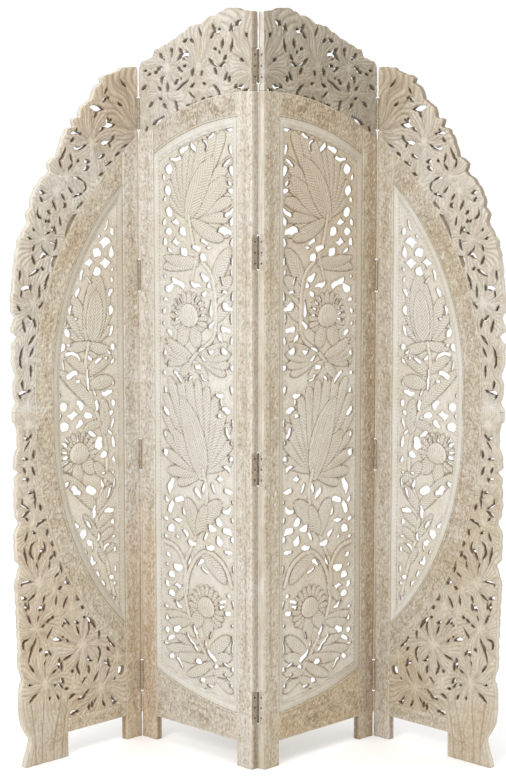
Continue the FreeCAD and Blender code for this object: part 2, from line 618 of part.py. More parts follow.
# ---------------------------------------------------------------- hinge pieces, drawn once
def rectangle(body, name, role, x0, x1, y0, y1, lift=None):
    """A fully dimensioned rectangle on one of the body's own planes."""
    sk = body.newObject("Sketcher::SketchObject", name)
    sk.AttachmentSupport = [(origin_plane(body, role), "")]
    sk.MapMode = "FlatFace"
    if lift:
        sk.setExpression("AttachmentOffset.Base.z", lift)
    p = [Vector(-3, -3, 0), Vector(3, -3, 0), Vector(3, 3, 0), Vector(-3, 3, 0)]
    for i in range(4):
        sk.addGeometry(Part.LineSegment(p[i], p[(i + 1) % 4]), False)
    for i in range(4):
        sk.addConstraint(Sketcher.Constraint("Coincident", i, 2, (i + 1) % 4, 1))
    for i in (0, 2):
        sk.addConstraint(Sketcher.Constraint("Horizontal", i))
    for i in (1, 3):
        sk.addConstraint(Sketcher.Constraint("Vertical", i))
    for kind, geo, pos, expr, seed in (("DistanceX", 0, 1, x0, -3.0), ("DistanceY", 0, 1, y0, -3.0),
                                       ("DistanceX", 1, 2, x1, 3.0), ("DistanceY", 1, 2, y1, 3.0)):
        k = sk.addConstraint(Sketcher.Constraint(kind, -1, 1, geo, pos, seed))
        sk.setExpression("Constraints[%d]" % k, expr)
    return sk


def circle(body, name, role, cx, cy, radius, lift=None):
    sk = body.newObject("Sketcher::SketchObject", name)
    sk.AttachmentSupport = [(origin_plane(body, role), "")]
    sk.MapMode = "FlatFace"
    if lift:
        sk.setExpression("AttachmentOffset.Base.z", lift)
    sk.addGeometry(Part.Circle(Vector(0.5, 0.5, 0), Vector(0, 0, 1), 1.0), False)
    k = sk.addConstraint(Sketcher.Constraint("Radius", 0, 1.0))
    sk.setExpression("Constraints[%d]" % k, radius)
    if cx is None:
        sk.addConstraint(Sketcher.Constraint("Coincident", 0, 3, -1, 1))
    else:
        k = sk.addConstraint(Sketcher.Constraint("DistanceX", -1, 1, 0, 3, 0.5))
        sk.setExpression("Constraints[%d]" % k, cx)
        k = sk.addConstraint(Sketcher.Constraint("DistanceY", -1, 1, 0, 3, 0.5))
        sk.setExpression("Constraints[%d]" % k, cy)
    return sk


def hinge_leaf(name, knuckles):
    """A hinge leaf beside the axis: plate on the +X side, board on the -Y side, middle at z = 0."""
    body = doc.addObject("PartDesign::Body", name)
    hh = D("hinge_height")
    plate = body.newObject("PartDesign::Pad", name + "_plate")
    plate.Profile = rectangle(body, name + "_plate_sketch", "YZ_Plane",
                              "-(%s + %s)" % (D("axis_offset"), D("leaf_width")), "-" + D("axis_offset"),
                              "-%s / 2" % hh, "%s / 2" % hh, "%s - %s" % (D("half_gap"), D("leaf_thick")))
    plate.setExpression("Length", D("leaf_thick"))
    body.Tip = plate
    for k in knuckles:
        low = "-%s / 2 + %d * %s / 5 + %s / 2" % (hh, k, hh, D("knuckle_play"))
        tall = "%s / 5 - %s" % (hh, D("knuckle_play"))
        web = body.newObject("PartDesign::Pad", "%s_web_%d" % (name, k))
        web.Profile = rectangle(body, "%s_web_sketch_%d" % (name, k), "XY_Plane", "%s - %s" % (D("half_gap"), D("leaf_thick")),
                                D("half_gap"), "-(%s + 2)" % D("axis_offset"), "-0.5", low)
        web.setExpression("Length", tall)
        roll = body.newObject("PartDesign::Pad", "%s_knuckle_%d" % (name, k))
        roll.Profile = circle(body, "%s_knuckle_sketch_%d" % (name, k), "XY_Plane", None, None, D("knuckle_radius"), low)
        roll.setExpression("Length", tall)
        body.Tip = roll
    doc.recompute()
    full = body.Shape.Volume
    bore = body.newObject("PartDesign::Pocket", name + "_bore")
    bore.Profile = circle(body, name + "_bore_sketch", "XY_Plane", None, None, "%s + %s" % (D("pin_radius"), D("pin_play")),
                          "-%s / 2 - 1" % hh)
    bore.Reversed = True
    bore.setExpression("Length", hh + " + 2")
    body.Tip = bore
    doc.recompute()
    if not body.Shape.Volume < full - 10:
        raise RuntimeError("bore of " + name)
    # countersunk holes, each a full turn of a half profile about its own centre line
    for i, step in enumerate((-1, 0, 1)):
        sk = body.newObject("Sketcher::SketchObject", "%s_sink_sketch_%d" % (name, i))
        sk.AttachmentSupport = [(origin_plane(body, "XY_Plane"), "")]
        sk.MapMode = "FlatFace"
        sk.setExpression("AttachmentOffset.Base.z", "%d * %s" % (step, D("screw_pitch")))
        yc = -(OFF + val("leaf_width") / 2)
        x_in = G - val("leaf_thick") - 0.5
        x_cone = G - val("leaf_thick") + val("screw_head_depth")
        x_out = G + 0.5
        r_h = val("screw_head_radius") + val("screw_play")
        r_s = val("screw_shank_radius") + val("screw_play")
        prof = [(x_in, 0), (x_in, r_h), (G - val("leaf_thick"), r_h), (x_cone, r_s), (x_out, r_s), (x_out, 0)]
        vs = [Vector(x, yc + r, 0) for x, r in prof]
        for a in range(6):
            sk.addGeometry(Part.LineSegment(vs[a], vs[(a + 1) % 6]), False)
        for a in range(6):
            sk.addConstraint(Sketcher.Constraint("Coincident", a, 2, (a + 1) % 6, 1))
        for a in range(6):
            xe = {0: "%s - %s - 0.5", 1: "%s - %s - 0.5", 2: "%s - %s"}.get(a)
            if xe:
                xe = xe % (D("half_gap"), D("leaf_thick"))
            elif a == 3:
                xe = "%s - %s + %s" % (D("half_gap"), D("leaf_thick"), D("screw_head_depth"))
            else:
                xe = "%s + 0.5" % D("half_gap")
            mid = "-(%s + %s / 2)" % (D("axis_offset"), D("leaf_width"))
            re = {1: "screw_head_radius", 2: "screw_head_radius", 3: "screw_shank_radius", 4: "screw_shank_radius"}.get(a)
            ye = mid if re is None else "%s + %s + %s" % (mid, D(re), D("screw_play"))
            k = sk.addConstraint(Sketcher.Constraint("DistanceX", -1, 1, a, 1, vs[a].x))
            sk.setExpression("Constraints[%d]" % k, xe)
            k = sk.addConstraint(Sketcher.Constraint("DistanceY", -1, 1, a, 1, vs[a].y))
            sk.setExpression("Constraints[%d]" % k, ye)
        doc.recompute()
        before = body.Shape.Volume
        g = body.newObject("PartDesign::Groove", "%s_sink_%d" % (name, i))
        g.Profile = sk
        g.ReferenceAxis = (sk, ["Edge6"])
        g.Angle = 360.0
        body.Tip = g
        doc.recompute()
        if not body.Shape.Volume < before - 5:
            raise RuntimeError("countersink of " + name)
    return body


def turned(name, prof, exprs):
    """A piece turned about the z axis from a half profile of (radius, height) points."""
    body = doc.addObject("PartDesign::Body", name)
    sk = body.newObject("Sketcher::SketchObject", name + "_profile")
    sk.AttachmentSupport = [(origin_plane(body, "XZ_Plane"), "")]
    sk.MapMode = "FlatFace"
    n = len(prof)
    vs = [Vector(r, z, 0) for r, z in prof]
    for i in range(n):
        sk.addGeometry(Part.LineSegment(vs[i], vs[(i + 1) % n]), False)
    for i in range(n):
        sk.addConstraint(Sketcher.Constraint("Coincident", i, 2, (i + 1) % n, 1))
    for i in range(n):
        re, ze = exprs[i]
        if re is None:
            sk.addConstraint(Sketcher.Constraint("PointOnObject", i, 1, -2))
        else:
            k = sk.addConstraint(Sketcher.Constraint("DistanceX", -1, 1, i, 1, vs[i].x))
            sk.setExpression("Constraints[%d]" % k, re)
        k = sk.addConstraint(Sketcher.Constraint("DistanceY", -1, 1, i, 1, vs[i].y))
        sk.setExpression("Constraints[%d]" % k, ze)
    rev = body.newObject("PartDesign::Revolution", name + "_turn")
    rev.Profile = sk
    rev.ReferenceAxis = (sk, ["V_Axis"])
    rev.Angle = 360.0
    body.Tip = rev
    return body


def pin_body():
    hh, r, rh, ht = val("hinge_height"), val("pin_radius"), val("pin_head_radius"), val("pin_head_height")
    z0, z1 = -hh / 2, hh / 2
    H2 = "%s / 2" % D("hinge_height")
    PH, PR, HR = D("pin_head_height"), D("pin_radius"), D("pin_head_radius")
    prof = [(0, z0 - ht), (rh * 0.6, z0 - ht), (rh, z0 - ht * 0.5), (rh, z0), (r, z0), (r, z1), (rh, z1),
            (rh, z1 + ht * 0.5), (rh * 0.6, z1 + ht), (0, z1 + ht)]
    ex = [(None, "-%s - %s" % (H2, PH)), (HR + " * 0.6", "-%s - %s" % (H2, PH)), (HR, "-%s - %s * 0.5" % (H2, PH)),
          (HR, "-" + H2), (PR, "-" + H2), (PR, H2), (HR, H2), (HR, "%s + %s * 0.5" % (H2, PH)),
          (HR + " * 0.6", "%s + %s" % (H2, PH)), (None, "%s + %s" % (H2, PH))]
    return turned("hinge_pin_pattern", prof, ex)


def screw_body():
    """Countersunk wood screw with its head's face at z = 0 and its point below."""
    rh, hd, rs, ln = (val("screw_head_radius"), val("screw_head_depth"), val("screw_shank_radius"), val("screw_length"))
    prof = [(0, 0), (rh, 0), (rs, -hd), (rs, -ln + 4), (0, -ln)]
    ex = [(None, "0"), (D("screw_head_radius"), "0"), (D("screw_shank_radius"), "-" + D("screw_head_depth")),
          (D("screw_shank_radius"), "-%s + 4" % D("screw_length")), (None, "-" + D("screw_length"))]
    return turned("wood_screw_pattern", prof, ex)


MIDDLE = ["middle_hinge_a", "middle_hinge_b", "middle_hinge_c", "middle_hinge_d"]
SIDE = ["side_hinge_a", "side_hinge_b", "side_hinge_c", "side_hinge_d"]


def group(name, shapes):
    o = doc.addObject("Part::Feature", name)
    o.Label = name
    o.Shape = Part.makeCompound(shapes)
    return o


def leaf_turn(x_side, y_side):
    """Turn the drawn leaf (+X plate, -Y board) to the wanted side; the leaf is even in z."""
    rot = Rotation()
    if y_side > 0:
        rot = Rotation(Vector(1, 0, 0), 180)
    if x_side < 0:
        rot = Rotation(Vector(0, 1, 0), 180).multiply(rot)
    return rot


def leaves(name, pattern, x_side, y_side, heights):
    out = []
    for alias in heights:
        s = pattern.Shape.copy()
        s.Placement = Placement(Vector(0, 0, val(alias)), leaf_turn(x_side, y_side))
        out.append(s)
    return group(name, out)


def screws(name, pattern, x_side, y_side, heights):
    out = []
    x = x_side * (G - val("leaf_thick"))
    y = y_side * (OFF + val("leaf_width") / 2)
    rot = Rotation(Vector(0, 0, 1), Vector(-x_side, 0, 0))
    for alias in heights:
        for step in (-1, 0, 1):
            s = pattern.Shape.copy()
            s.Placement = Placement(Vector(x, y, val(alias) + step * val("screw_pitch")), rot)
            out.append(s)
    return group(name, out)


def pins(name, pattern, heights):
    out = []
    for alias in heights:
        s = pattern.Shape.copy()
        s.Placement = Placement(Vector(0, 0, val(alias)), Rotation())
        out.append(s)
    return group(name, out)


# ---------------------------------------------------------------- build
for p in (LC, RC):
    middle_panel(p)
for p in (LO, RO):
    outer_panel(p)
wide = hinge_leaf("leaf_three_pattern", (0, 2, 4))
slim = hinge_leaf("leaf_two_pattern", (1, 3))
pin = pin_body()
screw = screw_body()
doc.recompute()

# hardware, drawn about its own hinge axis; the barrel is behind at the middle fold and in front
# at the side folds
HARDWARE = {
    "left_centre": [
        ("at_middle", leaves("left_centre_middle_leaves", wide, -1, -1, MIDDLE)),
        ("at_middle", screws("left_centre_middle_screws", screw, -1, -1, MIDDLE)),
        ("at_middle", pins("middle_hinge_pins", pin, MIDDLE)),
        ("at_side", leaves("left_centre_side_leaves", wide, 1, 1, SIDE)),
        ("at_side", screws("left_centre_side_screws", screw, 1, 1, SIDE)),
        ("at_side", pins("left_side_hinge_pins", pin, SIDE)),
    ],
    "right_centre": [
        ("at_middle", leaves("right_centre_middle_leaves", slim, 1, -1, MIDDLE)),
        ("at_middle", screws("right_centre_middle_screws", screw, 1, -1, MIDDLE)),
        ("at_side", leaves("right_centre_side_leaves", wide, -1, 1, SIDE)),
        ("at_side", screws("right_centre_side_screws", screw, -1, 1, SIDE)),
        ("at_side", pins("right_side_hinge_pins", pin, SIDE)),
    ],
    "left_outer": [
        ("at_side", leaves("left_outer_leaves", slim, -1, 1, SIDE)),
        ("at_side", screws("left_outer_screws", screw, -1, 1, SIDE)),
    ],
    "right_outer": [
        ("at_side", leaves("right_outer_leaves", slim, 1, 1, SIDE)),
        ("at_side", screws("right_outer_screws", screw, 1, 1, SIDE)),
    ],
}

# ---------------------------------------------------------------- stand the panels in their zigzag
angle = val("fold_angle")
rad = math.radians(angle)


def turn(deg, v):
    return Rotation(Vector(0, 0, 1), deg).multVec(v)


def stand(y_mid):
    """Place every piece; y_mid is the depth of the middle fold's axis."""
    middle = Vector(0, y_mid, 0)
    for key, pan in (("left_centre", LC), ("right_centre", RC), ("left_outer", LO), ("right_outer", RO)):
        s = pan.side
        deg = s * angle
        side_axis = middle + turn(deg, Vector(s * (W + 2 * G), -(T + 2 * OFF), 0))
        if pan.outer:
            place = Placement(side_axis, Rotation(Vector(0, 0, 1), -deg))
        else:
            place = Placement(middle, Rotation(Vector(0, 0, 1), deg))
        for o in pan.nodes:
            o.Placement = place
        for where, o in HARDWARE[key]:
            base = middle if where == "at_middle" else side_axis
            o.Placement = Placement(base, Rotation(Vector(0, 0, 1), -deg if pan.outer else deg))


nodes = []
for pan in (LC, RC, LO, RO):
    nodes += pan.nodes
    nodes += [o for _, o in HARDWARE[pan.key]]

stand(0.0)
doc.recompute()
lo = min(o.Shape.BoundBox.YMin for o in nodes)
hi = max(o.Shape.BoundBox.YMax for o in nodes)
stand(-(lo + hi) / 2)
doc.recompute()

# ---------------------------------------------------------------- check and write
for o in doc.Objects:
    bad = [s for s in o.State if s in ("Invalid", "Error")]
    if bad:
        raise RuntimeError("%s is %s" % (o.Name, bad))
labels = set()
for o in nodes:
    sh = o.Shape
    if sh.isNull() or not sh.isValid() or not sh.Solids:
        raise RuntimeError("bad shape: " + o.Label)
    if o.Label in labels:
        raise RuntimeError("two pieces named " + o.Label)
    labels.add(o.Label)

os.makedirs("parts", exist_ok=True)
for o in nodes:
    o.Shape.exportStep("parts/%s.step" % o.Label)
    bb = o.Shape.BoundBox
    print("%-30s solids %2d faces %4d vol %10.1f  x %.1f..%.1f y %.1f..%.1f z %.1f..%.1f" % (
        o.Label, len(o.Shape.Solids), len(o.Shape.Faces), o.Shape.Volume, bb.XMin, bb.XMax, bb.YMin, bb.YMax, bb.ZMin, bb.ZMax))
mid_y = -(lo + hi) / 2
print("nodes", len(nodes), "middle axis y", mid_y)
for pan in (LC, RC):
    v = Vector(0, mid_y, 0) + turn(pan.side * angle, Vector(pan.side * (W + 2 * G), -(T + 2 * OFF), 0))
    print(pan.key, "side axis", round(v.x, 5), round(v.y, 5))
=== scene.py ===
import json
import math
from collections import deque

import bpy
import numpy as np
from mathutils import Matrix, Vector


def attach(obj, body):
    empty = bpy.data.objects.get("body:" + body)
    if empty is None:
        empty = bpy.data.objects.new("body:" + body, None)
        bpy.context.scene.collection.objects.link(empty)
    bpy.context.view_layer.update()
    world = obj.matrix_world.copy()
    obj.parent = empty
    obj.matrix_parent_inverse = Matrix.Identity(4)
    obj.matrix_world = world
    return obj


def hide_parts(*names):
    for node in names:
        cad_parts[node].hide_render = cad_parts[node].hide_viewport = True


# Whitewashed carved folding screen: relief boards, pierced frets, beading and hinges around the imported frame.
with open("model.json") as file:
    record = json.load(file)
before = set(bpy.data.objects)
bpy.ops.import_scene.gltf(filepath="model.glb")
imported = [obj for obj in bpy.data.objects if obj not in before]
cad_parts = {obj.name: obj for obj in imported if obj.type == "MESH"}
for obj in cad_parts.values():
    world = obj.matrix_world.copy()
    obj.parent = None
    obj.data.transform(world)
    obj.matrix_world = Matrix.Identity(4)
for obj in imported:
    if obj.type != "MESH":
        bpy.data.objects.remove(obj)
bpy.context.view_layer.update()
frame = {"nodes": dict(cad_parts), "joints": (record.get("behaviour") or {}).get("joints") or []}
scene = bpy.context.scene

# ---------------------------------------------------------------- sizes, in millimetres, as the frame has them
JOINT = {j["name"]: j for j in frame["joints"]}
MIDY = JOINT["middle_fold"]["pos_m"][1] * 1000.0
SIDEX = JOINT["right_fold"]["pos_m"][0] * 1000.0
SIDEY = JOINT["right_fold"]["pos_m"][1] * 1000.0
FOLD = 46.0
T, OFF, G, W, STILE = 20.0, 2.4, 1.6, 400.0, 50.0
FOOT_T = 248.0 - G
PITCH = 2.0


class Panel:
    """One leaf of the screen; t runs from the side-fold edge on both kinds of panel."""

    def __init__(self, key, side, outer):
        self.key, self.side, self.outer = key, side, outer
        self.body = key + "_panel"
        self.face = OFF if outer else -OFF - T
        deg = -side * FOLD if outer else side * FOLD
        self.cos, self.sin = math.cos(math.radians(deg)), math.sin(math.radians(deg))
        self.base = (side * SIDEX, SIDEY) if outer else (0.0, MIDY)
        self.sign = side if outer else -side

    def world(self, t, d, z):
        c = G + t if self.outer else G + W - t
        x, y = self.side * c, self.face + d
        return np.stack([(self.base[0] + x * self.cos - y * self.sin) / 1000.0,
                         (self.base[1] + x * self.sin + y * self.cos) / 1000.0, z / 1000.0], axis=-1)


LC, RC = Panel("left_centre", -1, False), Panel("right_centre", 1, False)
LO, RO = Panel("left_outer", -1, True), Panel("right_outer", 1, True)
CENTRE, OUTER = (LC, RC), (LO, RO)


# ---------------------------------------------------------------- a carved field: solid distance, height and marks
class Field:
    def __init__(self, t0, t1, z0, z1, pitch=PITCH, solid=-40.0, ground=-8.0, outer=False):
        self.p = pitch
        self.t = np.arange(t0, t1 + pitch * 0.5, pitch)
        self.z = np.arange(z0, z1 + pitch * 0.5, pitch)
        self.T, self.Z = np.meshgrid(self.t, self.z)
        self.Q = self.T + (W + 3 * G) if outer else (G + W) - self.T
        self.S = np.full(self.T.shape, solid)
        self.H = np.full(self.T.shape, ground)
        self.ground = ground
        self.lat = np.zeros(self.T.shape)
        self.leaf = np.zeros(self.T.shape)
        self.run = np.zeros(self.T.shape)
        self.mark = np.zeros(self.T.shape)
        # painted shade given to the walls of openings and edges, set per member
        self.wall_shade = np.full(self.T.shape, 0.5)
        self.lip, self.lead, self.tint = 0.0, 0.0, 0.0

    def window(self, t0, t1, z0, z1):
        j0 = max(0, int((t0 - self.t[0]) / self.p))
        j1 = min(len(self.t), int((t1 - self.t[0]) / self.p) + 2)
        i0 = max(0, int((z0 - self.z[0]) / self.p))
        i1 = min(len(self.z), int((z1 - self.z[0]) / self.p) + 2)
        if j1 <= j0 or i1 <= i0:
            return None
        return (slice(i0, i1), slice(j0, j1))

    def put(self, sl, sdf, height, lat=None, leaf=0.0, run=None, groove=1.5, reach=3.2, grow=0.0):
        """Lay a raised motif over what is there, with a cut round its outline."""
        H = self.H[sl]
        ring = (sdf <= 0) & (sdf > -reach)
        H[ring] = np.maximum(H[ring] - groove * (1 + sdf[ring] / reach), self.ground - 0.6)
        ins = sdf > 0
        H[ins] = height[ins]
        self.leaf[sl][ins] = leaf
        self.lat[sl][ins] = 0.0 if lat is None else lat[ins]
        self.run[sl][ins] = 0.0 if run is None else run[ins]
        np.maximum(self.S[sl], sdf + grow, out=self.S[sl])

    def warp(self, seed, amount, cells):
        """A gentle unevenness for hand-sawn lines."""
        r = np.random.RandomState(seed)
        both = [blur(r.normal(size=self.T.shape), cells) for _ in range(2)]
        self.wt, self.wz = (amount * b / (b.std() + 1e-9) for b in both)


def curve(points, n=8):
    """A smooth line through or near the points: a quadratic or cubic run, sampled."""
    pts = np.array(points, float)
    if len(pts) == 2:
        s = np.linspace(0, 1, n + 1)[:, None]
        return pts[0] * (1 - s) + pts[1] * s
    if len(pts) == 3:
        s = np.linspace(0, 1, n + 1)[:, None]
        return pts[0] * (1 - s) ** 2 + 2 * pts[1] * s * (1 - s) + pts[2] * s * s
    out = []
    ext = np.vstack([2 * pts[0] - pts[1], pts, 2 * pts[-1] - pts[-2]])
    for k in range(1, len(ext) - 2):
        a, b, c, d = ext[k - 1], ext[k], ext[k + 1], ext[k + 2]
        for s in np.linspace(0, 1, 7)[:-1]:
            out.append(0.5 * ((2 * b) + (c - a) * s + (2 * a - 5 * b + 4 * c - d) * s * s + (-a + 3 * b - 3 * c + d) * s ** 3))
    out.append(pts[-1])
    return np.array(out)


def along(X, Z, pts):
    """Distance to a line, share of its length, and the signed offset across it."""
    seg = np.diff(pts, axis=0)
    ln = np.hypot(seg[:, 0], seg[:, 1])
    tot = max(ln.sum(), 1e-6)
    start = np.concatenate([[0], np.cumsum(ln)])
    best = np.full(X.shape, 1e9)
    share = np.zeros(X.shape)
    side = np.zeros(X.shape)
    for k in range(len(seg)):
        if ln[k] < 1e-6:
            continue
        dx, dz = seg[k] / ln[k]
        rx, rz = X - pts[k, 0], Z - pts[k, 1]
        a = np.clip(rx * dx + rz * dz, 0, ln[k])
        ex, ez = rx - a * dx, rz - a * dz
        d = np.hypot(ex, ez)
        near = d < best
        best = np.where(near, d, best)
        share = np.where(near, (start[k] + a) / tot, share)
        side = np.where(near, dx * rz - dz * rx, side)
    return best, share, np.where(side < 0, -best, best)


def lobe(F, p0, p1, hw, top, bend=0.0, drop=2.6, tip=0.55, vein=1.0, grow=0.0, rim=0.0, groove=1.5, side_veins=0.50):
    """A teardrop lobe from its foot to its tip, with a cut midrib."""
    p0, p1 = np.array(p0, float), np.array(p1, float)
    v = p1 - p0
    L = np.hypot(*v)
    n = np.array([-v[1], v[0]]) / max(L, 1e-6)
    pts = curve([p0, (p0 + p1) / 2 + n * bend * L, p1], 8)
    m = hw + 5
    sl = F.window(pts[:, 0].min() - m, pts[:, 0].max() + m, pts[:, 1].min() - m, pts[:, 1].max() + m)
    if sl is None:
        return
    d, s, lat = along(F.T[sl], F.Z[sl], pts)
    prof = ((s + 0.04) ** 0.6) * (np.maximum(1.0 - s, 0) ** tip)
    k = 0.6 / (0.6 + tip)
    prof = prof / ((k + 0.04) ** 0.6 * (1 - k) ** tip)
    w = hw * prof
    sdf = w - d
    r = np.clip(d / np.maximum(w, 0.5), 0, 1)
    h = top - drop * r * r - vein * np.exp(-(lat / 1.3) ** 2) * (s < 0.93) - 0.9 * (1 - s)
    run = s * L - 1.1 * d
    if side_veins and hw > 8:
        h = h + side_veins * np.cos(run * 2 * math.pi / 9.0) * np.clip((w - d) / 3.0, 0, 1) * np.clip(d / 2.5, 0, 1)
    if rim:
        h = h - rim * (1 - np.clip(r * r * 1.25, 0, 1)) + rim * np.exp(-((r - 0.82) / 0.12) ** 2)
    F.put(sl, sdf, h, lat / np.maximum(w, 1.0) * hw, 1.0, run=run, groove=groove, grow=grow)


def stem(F, points, hw, top, grow=0.0, double=True):
    pts = curve(points)
    m = hw + 5
    sl = F.window(pts[:, 0].min() - m, pts[:, 0].max() + m, pts[:, 1].min() - m, pts[:, 1].max() + m)
    if sl is None:
        return
    d, s, lat = along(F.T[sl], F.Z[sl], pts)
    r = np.clip(d / hw, 0, 1)
    h = top - 1.7 * r * r
    if double:
        h = h - 0.9 * np.exp(-(lat / 1.2) ** 2)
    F.put(sl, hw - d, h, None, 0.3, grow=grow)


def dome(F, c, z, r, top, rise=3.0):
    """The heart of a flower: round above, flatter below, with fine lines spreading up from its foot."""
    sl = F.window(c - r - 6, c + r + 6, z - 1.2 * r - 6, z + r + 6)
    x, y = F.T[sl] - c, F.Z[sl] - z
    d = np.where(y > 0, np.hypot(x, y), (np.abs(x) ** 2 + np.abs(y / 0.68) ** 2) ** 0.5)
    q = np.clip(d / r, 0, 1)
    fan = np.cos(np.arctan2(x, y + 1.5 * r) * 2 * math.pi / 0.125) * np.clip((0.9 - q) / 0.15, 0, 1)
    h = top + rise * (1 - q * q) + 0.65 * fan
    h -= 1.0 * np.exp(-((q - 0.9) / 0.06) ** 2)
    F.put(sl, r - d, h, None, 0.15, groove=2.2)
    ins = d < r
    F.mark[sl][ins] = np.maximum(F.mark[sl], 0.46 * np.clip(-fan, 0, 1) ** 2)[ins]


def polygon(F, pts):
    """Signed distance to a closed outline, positive inside."""
    pts = np.array(pts, float)
    d = np.full(F.T.shape, 1e9)
    wind = np.zeros(F.T.shape, bool)
    n = len(pts)
    for k in range(n):
        a, b = pts[k], pts[(k + 1) % n]
        v = b - a
        L2 = max(v @ v, 1e-9)
        rx, rz = F.T - a[0], F.Z - a[1]
        s = np.clip((rx * v[0] + rz * v[1]) / L2, 0, 1)
        d = np.minimum(d, np.hypot(rx - s * v[0], rz - s * v[1]))
        cross = (a[1] > F.Z) != (b[1] > F.Z)
        if abs(v[1]) > 1e-9:
            x = a[0] + (F.Z - a[1]) * v[0] / v[1]
            wind ^= cross & (F.T < x)
    return np.where(wind, d, -d)


def oval(F, a, b, zc):
    f = np.sqrt((F.Q / a) ** 2 + ((F.Z - zc) / b) ** 2)
    g = np.sqrt((F.Q / a ** 2) ** 2 + ((F.Z - zc) / b ** 2) ** 2) / np.maximum(f, 1e-6)
    return (1 - f) / np.maximum(g, 1e-7)


OA, OT, OTC, OL, OLC, SPLIT, RAIL = 745.0, 712.0, 930.0, 758.0, 830.0, 880.0, 57.0
SILL, SILLC = 425.0, 555.0


def oval_ring(F, inset):
    """Distance inside the oval, drawn in by inset."""
    return np.where(F.Z > SPLIT, oval(F, OA - inset, OT - inset, OTC), oval(F, OA - inset, OL - inset, OLC))


def blur(A, r):
    """Three passes of a running mean of half-width r cells."""
    for _ in range(2):
        for ax in (0, 1):
            n = A.shape[ax]
            pad = [(0, 0), (0, 0)]
            pad[ax] = (r + 1, r)
            B = np.cumsum(np.pad(A, pad, mode="edge"), axis=ax)
            if ax == 0:
                A = (B[2 * r + 1:2 * r + 1 + n] - B[:n]) / (2 * r + 1)
            else:
                A = (B[:, 2 * r + 1:2 * r + 1 + n] - B[:, :n]) / (2 * r + 1)
    return A


def keep_joined(S, least=400):
    """Drop loose crumbs of the pierced work that touch nothing."""
    solid = S > 0
    seen = np.zeros(S.shape, bool)
    nz, nt = S.shape
    for i0, j0 in np.argwhere(solid & ~seen):
        if seen[i0, j0]:
            continue
        q, cells = deque([(i0, j0)]), []
        seen[i0, j0] = True
        while q:
            i, j = q.popleft()
            cells.append((i, j))
            for a, b in ((i + 1, j), (i - 1, j), (i, j + 1), (i, j - 1)):
                if 0 <= a < nz and 0 <= b < nt and solid[a, b] and not seen[a, b]:
                    seen[a, b] = True
                    q.append((a, b))
        if len(cells) < least:
            for i, j in cells:
                S[i, j] = -1.0
    return S


def fill_pinholes(S, least=4):
    """Close holes of only a few cells, too small to have been sawn."""
    void = S <= 0
    seen = np.zeros(S.shape, bool)
    nz, nt = S.shape
    for i0, j0 in np.argwhere(void):
        if seen[i0, j0]:
            continue
        q, cells = deque([(i0, j0)]), []
        seen[i0, j0] = True
        while q:
            i, j = q.popleft()
            cells.append((i, j))
            for a, b in ((i + 1, j), (i - 1, j), (i, j + 1), (i, j - 1)):
                if 0 <= a < nz and 0 <= b < nt and void[a, b] and not seen[a, b]:
                    seen[a, b] = True
                    q.append((a, b))
        if len(cells) < least:
            for i, j in cells:
                S[i, j] = 0.8
    return S


# ---------------------------------------------------------------- meshing a field into a closed board
TABLE = {1: [(0, 4, 7)], 2: [(1, 5, 4)], 3: [(0, 1, 5, 7)], 4: [(2, 6, 5)], 5: [(0, 4, 7), (2, 6, 5)], 6: [(1, 2, 6, 4)],
         7: [(0, 1, 2, 6, 7)], 8: [(3, 7, 6)], 9: [(0, 4, 6, 3)], 10: [(1, 5, 4), (3, 7, 6)], 11: [(0, 1, 5, 6, 3)],
         12: [(2, 3, 7, 5)], 13: [(0, 4, 5, 2, 3)], 14: [(1, 2, 3, 7, 4)], 15: [(0, 1, 2, 3)]}


